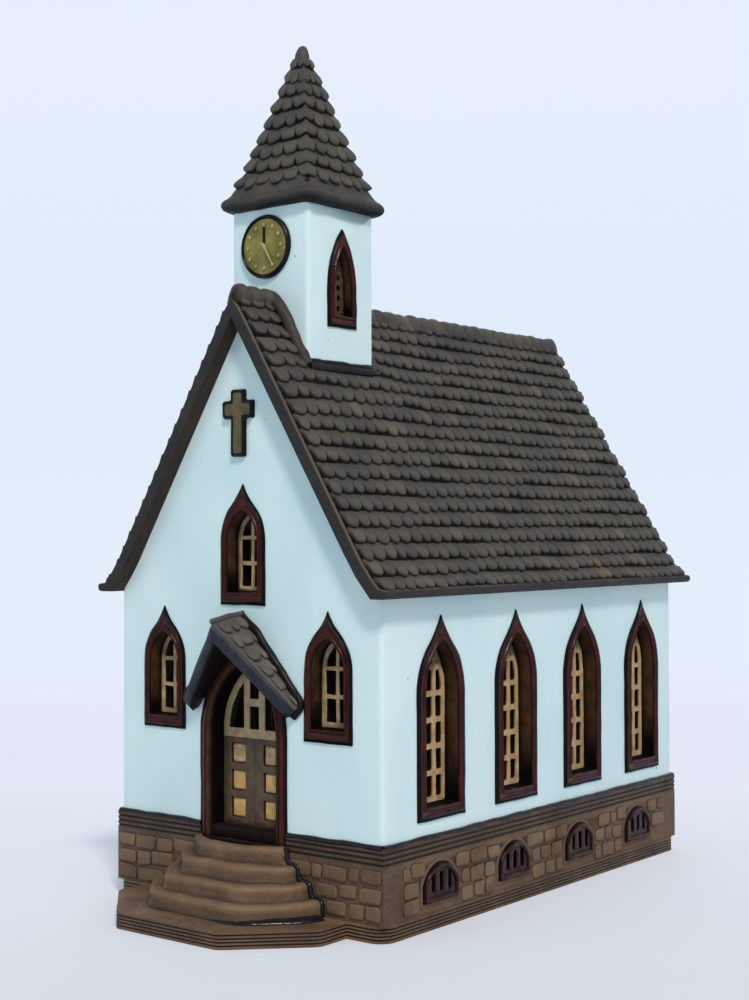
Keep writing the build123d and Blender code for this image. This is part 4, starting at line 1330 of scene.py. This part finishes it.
def make_door():
    """Clay door: moulded frame, dark sill, leaves, ochre panels and a pierced fanlight, with painted shade in
    the frame's reveal, the recesses of the leaves and panels, and the fanlight's holes.
    """
    foot = node_box("door_frame")[0].z - wall_foot
    spring = DOOR_HEIGHT - DOOR_RISE
    radius = (DOOR_HALF ** 2 + DOOR_RISE ** 2) / (2 * DOOR_HALF)
    tip = spring + math.sqrt((radius + DOOR_BAND) ** 2 - (radius - DOOR_HALF) ** 2)
    outer = pointed(DOOR_HALF + DOOR_BAND, foot, spring, tip)
    inner = pointed(DOOR_HALF - 0.55, foot + 0.05, spring, DOOR_HEIGHT - 0.7)
    bm = new_mesh()
    moulded_ring(bm, wall_matrix(FRONT, (0, front_face, wall_foot)), outer, inner, DOOR_PROFILE)
    wobble(bm, 4, 0.16)
    make_piece(bm, "door_frame", "frame_glaze", FRAME_FINISHES, ("door_frame",))
    for node, slot, finish, soft in (
        ("door_sill", "stone_clay", sill_clay, 0.6),
        ("door_leaf_left", "door_clay", door_clay, 0.25),
        ("door_leaf_right", "door_clay", door_clay, 0.25),
        ("door_panels", "panel_clay", panel_clay, 0.25),
        ("fanlight", "panel_clay", fanlight_clay, 0.3),
    ):
        bm = copy_node(node)
        face = node_box(node)[0].y
        shade = marks(bm)[0]
        dark_from = None
        if node == "fanlight":
            push_faces(hole_faces(bm, 1, 17), 0.4)
            soften_holes(bm, 1, 0.5, soft)
            blacken_depth(bm, 1, {-1: -face})
        elif node == "door_panels":
            for panel in [f for f in bm.faces if f.normal.y < -0.9]:
                centre = Matrix.Translation(-panel.calc_center_median())
                bmesh.ops.scale(bm, vec=(0.78, 1, 0.81), verts=panel.verts, space=centre)
            round_edges(bm, sharp_edges(bm, 20), soft, 3)
            dark_from, dark_to = 0.25, 0.7
        else:
            round_edges(bm, sharp_edges(bm, 40), soft, 2)
            if node != "door_sill":
                dark_from, dark_to = 0.1, 0.5
        # Painted shade in the recesses of the leaves and round the panels
        if dark_from is not None:
            for vert in bm.verts:
                vert[shade] = ease(vert.co.y, face + dark_from, face + dark_to)
        wobble(bm, 3, 0.12)
        make_piece(bm, node, slot, (finish,), (node,))


def make_clock():
    """Clock face in relief: dial with light raised marks, dark rolled rim and thin hands, the hour hand in a
    lighter gold that is partly a painted highlight.
    """
    dial_face = node_box("clock_dial")[0].y
    low, high = node_box("clock_rim")
    centre = (low + high) / 2
    outside, proud = (high.x - low.x) / 2, high.y - low.y
    for node, slot, finish, turn, longer in (
        ("clock_dial", "gold_glaze", gold_glaze, None, 1.0),
        # The hour hand's light gold is partly its glaze and partly a painted highlight
        ("clock_hour_hand", "dark_glaze", gold_light, 150, 1.4),
        ("clock_minute_hand", "dark_glaze", dark_glaze, 0, 1.0),
    ):
        bm = copy_node(node)
        if turn is not None:
            along = Matrix.Rotation(math.radians(-turn), 4, "Y") @ Matrix.Translation(-centre)
            bmesh.ops.scale(bm, vec=(0.55, 1, longer), verts=bm.verts, space=along)
        round_edges(bm, sharp_edges(bm, 40), 0.2, 3)
        for face in bm.faces:
            raised = face.calc_center_median().y < dial_face + 0.2 and face.calc_area() < 3
            face.material_index = 1 if turn is None and face.normal.y < -0.1 and raised else 0
        make_piece(bm, node, slot, (finish, gold_light), (node,))
    cuts, width = 56, 1.15
    circle = [Vector((math.cos(i * math.tau / cuts), math.sin(i * math.tau / cuts))) for i in range(cuts)]
    heights = ((0.0, 0.0), (0.02, 0.55), (0.2, 0.85), (0.5, 1.0), (0.8, 0.85), (0.98, 0.5))
    profile = [(share, proud * height, 0, 0) for share, height in heights] + [(1.0, -0.05, 0, 0)]
    bm = new_mesh()
    place = wall_matrix(FRONT, (centre.x, high.y, centre.z))
    moulded_ring(bm, place, [p * outside for p in circle], [p * (outside - width) for p in circle], profile)
    wobble(bm, 4, 0.15)
    make_piece(bm, "clock_rim", "dark_glaze", (dark_glaze,), ("clock_rim",))


def make_cross():
    """Cross with an olive-gold face and a dark rounded edge."""
    low, high = node_box("cross")
    centre = (low + high) / 2
    proud = high.y - low.y
    bar, arm_foot, soft = 5.4, 10.9, 0.45

    def outline(inset):
        x, b = high.x - centre.x - inset, bar / 2 - inset
        z0, z1, z2, z3 = inset, arm_foot + inset, arm_foot + bar - inset, high.z - low.z - inset
        plan = [Vector(p) for p in ((-b, z0), (b, z0), (b, z1), (x, z1), (x, z2), (b, z2), (b, z3),
                                    (-b, z3), (-b, z2), (-x, z2), (-x, z1), (-b, z1))]
        points = []
        for i, point in enumerate(plan):
            before = (plan[i - 1] - point).normalized()
            after = (plan[(i + 1) % len(plan)] - point).normalized()
            points += [point + before * soft, point + after * soft]
        return points

    bm = new_mesh()
    place = wall_matrix(FRONT, (centre.x, high.y, low.z))
    heights = ((0.0, 0.0), (0.05, 0.6), (0.25, 0.95), (0.6, 1.0), (1.0, 0.8))
    profile = [(share, proud * height, 1, 0) for share, height in heights] + [(0.98, 0.1, 1, 0)]
    moulded_ring(bm, place, outline(0.1), outline(1.3), profile)
    plate = bm.faces.new([bm.verts.new(place @ Vector((p.x, p.y, proud * 0.4))) for p in outline(1.0)])
    lifted = verts_of(bmesh.ops.extrude_face_region(bm, geom=[plate])["geom"])
    bmesh.ops.translate(bm, vec=FRONT * proud * 0.47, verts=lifted)
    face_outwards(bm)
    wobble(bm, 5, 0.15)
    make_piece(bm, "cross", "gold_glaze", (olive_glaze, dark_glaze), ("cross",))


def make_tealight():
    """Tealight: thin crimped cup, dished wax, wick and its tab."""
    cup_metal = Finish("cup_metal", 0.3)
    cup_metal.shader.inputs["Metallic"].default_value = 1.0
    cup_metal.colour(cup_metal.ramp(cup_metal.cloud(4, 2), (0.3, (176, 178, 182)), (0.7, (206, 208, 210))))
    cup_metal.relief((cup_metal.cloud(3, 2), 0.15))
    wax = Finish("wax", 0.45)
    wax.shader.inputs["Subsurface Weight"].default_value = 0.3
    wax.shader.inputs["Subsurface Radius"].default_value = (0.004, 0.003, 0.002)
    wax.colour(wax.ramp(wax.cloud(6, 2), (0.3, (236, 230, 216)), (0.7, (244, 240, 230))))
    wax.relief((wax.cloud(5, 2), 0.3))
    cotton = make_matt("wick_cotton", (196, 188, 172), (226, 220, 206), 0.8, 0.9)
    for node, slot, finish, soft in (
        ("tealight_cup", "cup_metal", cup_metal.material, 0.1),
        ("tealight_wax", "wax", wax.material, 0.8),
        ("tealight_wick", "wick_cotton", cotton, 0.25),
        ("tealight_wick_tab", "tab_metal", cup_metal.material, 0.08),
    ):
        bm = copy_node(node)
        round_edges(bm, sharp_edges(bm, 40), soft, 2)
        make_piece(bm, node, slot, (finish,), (node,), "tealight")


for name in ("wall_front", "wall_rear", "wall_left", "wall_right"):
    make_wall(name)
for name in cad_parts:
    if name.startswith("window_frame_"):
        make_window(name)
for name in ("front_lattices", "lattices_left", "lattices_right"):
    make_lattice(name, "lattice_clay", lattice_clay, 0.9)
make_lattice("tower_lattices", "tower_lattice_clay", tower_lattice_clay, 0.4)
for side, outward in SIDES.items():
    make_roof(side, outward.x)
for name in ("ridge_front", "ridge_rear"):
    make_ridge(name)
make_tower()
make_spire()
make_rim()
for side, outward in SIDES.items():
    make_canopy(side, outward.x)
make_plinth("plinth_front", FRONT)
for side, outward in SIDES.items():
    make_plinth("plinth_" + side, outward)
for side in SIDES:
    make_plinth("plinth_rear_" + side, -FRONT)
make_base()
make_steps()
make_pooled_glaze()
for side in SIDES:
    make_cellars(side)
make_door()
make_clock()
make_cross()
make_tealight()

# Studio in metres: the sweep of paper behind the house turns with the camera
PAPER_HALF, PAPER_NEAR, PAPER_BEND, PAPER_RADIUS, PAPER_TOP = 6, -3, 1.4, 0.8, 5
PAPER_TURN = math.radians(38)
# Brightness of the paper as the camera sees it, from under the house to far behind and above it
PAPER_GLOW = (
    (0.0, (189, 181, 189)), (0.014, (226, 223, 237)), (0.027, (242, 237, 253)), (0.045, (241, 238, 253)),
    (0.075, (228, 231, 247)), (0.2, (231, 235, 249)), (0.5, (230, 239, 252)), (0.62, (226, 237, 253)),
    (0.8, (226, 237, 252)), (1.0, (231, 240, 252)),
)
# Lamps: place, width, power and colour
LAMPS = {
    "key": ((1.12, -0.98, 1.74), 0.3, 33.5, (1.0, 0.92, 0.83)),
    "fill": ((1.9, 0.2, 1.0), 1.4, 2.5, (1.0, 0.95, 0.9)),
    "front_fill": ((-0.9, -1.7, 0.9), 1.5, 4, (0.72, 0.95, 1.0)),
    "rear_fill": ((-1.3, 1.7, 1.3), 1.5, 9, (0.95, 0.98, 1.0)),
}


def make_paper():
    """Paper with a soft glow of its own where the camera sees it, weaker in the shadow of the house."""
    paper = Finish("floor_paper", 0.9, specular=0.1)
    paper.colour(paper.ramp(paper.cloud(300, 2), (0.3, (226, 233, 242)), (0.7, (230, 236, 244))))
    along, across = paper.axis("Y"), paper.axis("X")

    def times(first, second):
        return paper.tally("MULTIPLY", first, second)

    away = paper.tally("SUBTRACT", times(along, 0.788), times(across, 0.616))
    square = paper.tally("ADD", times(along, along), times(across, across))
    around = paper.between(paper.tally("POWER", square, 0.5), 350, 900)
    far = paper.tally("MAXIMUM", paper.between(away, -200, 1700), around)
    high = paper.between(paper.axis("Z"), 0, 900)
    glow = paper.ramp(paper.tally("ADD", times(far, 0.5), times(high, 0.5)), *PAPER_GLOW)
    seen = paper.node("LightPath", output="Is Camera Ray")
    for ray in ("Is Glossy Ray", "Is Transmission Ray"):
        seen = paper.tally("MAXIMUM", seen, paper.node("LightPath", output=ray))
    light = paper.node("Emission", {"Color": glow, "Strength": 1.0})
    clear_of_house = paper.tally("MAXIMUM", paper.between(away, 60, 320), around)
    share = times(seen, paper.tally("ADD", times(clear_of_house, 0.66), 0.3))
    lit = paper.node("MixShader", {0: share, 1: paper.shader.outputs[0], 2: light})
    paper.tree.links.new(lit, paper.tree.nodes["Material Output"].inputs["Surface"])
    return paper.material


def make_floor():
    """Pale floor that curves up into a backdrop."""
    bm = bmesh.new()
    section = [(PAPER_NEAR, 0), (PAPER_BEND, 0)]
    for turn in (0.3, 0.6, 0.9, 1.2, math.pi / 2):
        rise = PAPER_RADIUS - PAPER_RADIUS * math.cos(turn)
        section.append((PAPER_BEND + PAPER_RADIUS * math.sin(turn), rise))
    section.append((PAPER_BEND + PAPER_RADIUS, PAPER_TOP))
    line = [bm.verts.new((-PAPER_HALF, y, z)) for y, z in section]
    edges = [bm.edges.new(pair) for pair in zip(line, line[1:])]
    sweep = bmesh.ops.extrude_edge_only(bm, edges=edges)["geom"]
    bmesh.ops.translate(bm, vec=(2 * PAPER_HALF, 0, 0), verts=verts_of(sweep))
    bmesh.ops.rotate(bm, verts=bm.verts, cent=(0, 0, 0), matrix=Matrix.Rotation(PAPER_TURN, 3, "Z"))
    face_outwards(bm)
    mesh = bpy.data.meshes.new("floor")
    bm.to_mesh(mesh)
    bm.free()
    mesh.shade_smooth()
    mesh.materials.append(make_paper())
    floor = bpy.data.objects.new("floor", mesh)
    bpy.context.scene.collection.objects.link(floor)


def make_sky():
    """Even sky that lights the house in a cool tone and looks pale to the camera."""
    world = bpy.data.worlds.new("sky")
    bpy.context.scene.world = world
    world.use_nodes = True
    sky = world.node_tree
    dome = sky.nodes["Background"]
    dome.inputs["Color"].default_value = (0.68, 0.90, 1.0, 1.0)
    dome.inputs["Strength"].default_value = 0.46
    pale = sky.nodes.new("ShaderNodeBackground")
    pale.inputs["Color"].default_value = clay(226, 236, 248)
    both = sky.nodes.new("ShaderNodeMixShader")
    path = sky.nodes.new("ShaderNodeLightPath")
    for place, source in enumerate((path.outputs["Is Camera Ray"], dome.outputs[0], pale.outputs[0])):
        sky.links.new(source, both.inputs[place])
    sky.links.new(both.outputs[0], sky.nodes["World Output"].inputs["Surface"])


def make_lamps():
    """Soft key from the right and three fills, aimed at the middle of the house."""
    target = Vector((0, 0, 0.1))
    for name, (spot, size, power, tone) in LAMPS.items():
        lamp = bpy.data.lights.new(name, "AREA")
        lamp.size = size
        lamp.energy = power
        lamp.color = tone
        holder = bpy.data.objects.new(name, lamp)
        aim = (target - Vector(spot)).to_track_quat("-Z", "Y").to_matrix().to_4x4()
        holder.matrix_world = Matrix.Translation(spot) @ aim
        bpy.context.scene.collection.objects.link(holder)


def make_camera():
    """Camera at the photograph's viewing angle."""
    lens = bpy.data.cameras.new("camera")
    lens.sensor_fit = "VERTICAL"
    lens.sensor_height = 36.0
    lens.lens = 57.93
    lens.clip_end = 50
    camera = bpy.data.objects.new("camera", lens)
    place = Matrix.Translation((0.3122, -0.4042, 0.1096))
    for angle, axis in ((38.17, "Z"), (91.05, "X"), (-0.18, "Z")):
        place = place @ Matrix.Rotation(math.radians(angle), 4, axis)
    camera.matrix_world = place
    bpy.context.scene.collection.objects.link(camera)
    bpy.context.scene.camera = camera


make_floor()
make_sky()
make_lamps()
make_camera()
bpy.context.scene.view_settings.view_transform = "Standard"
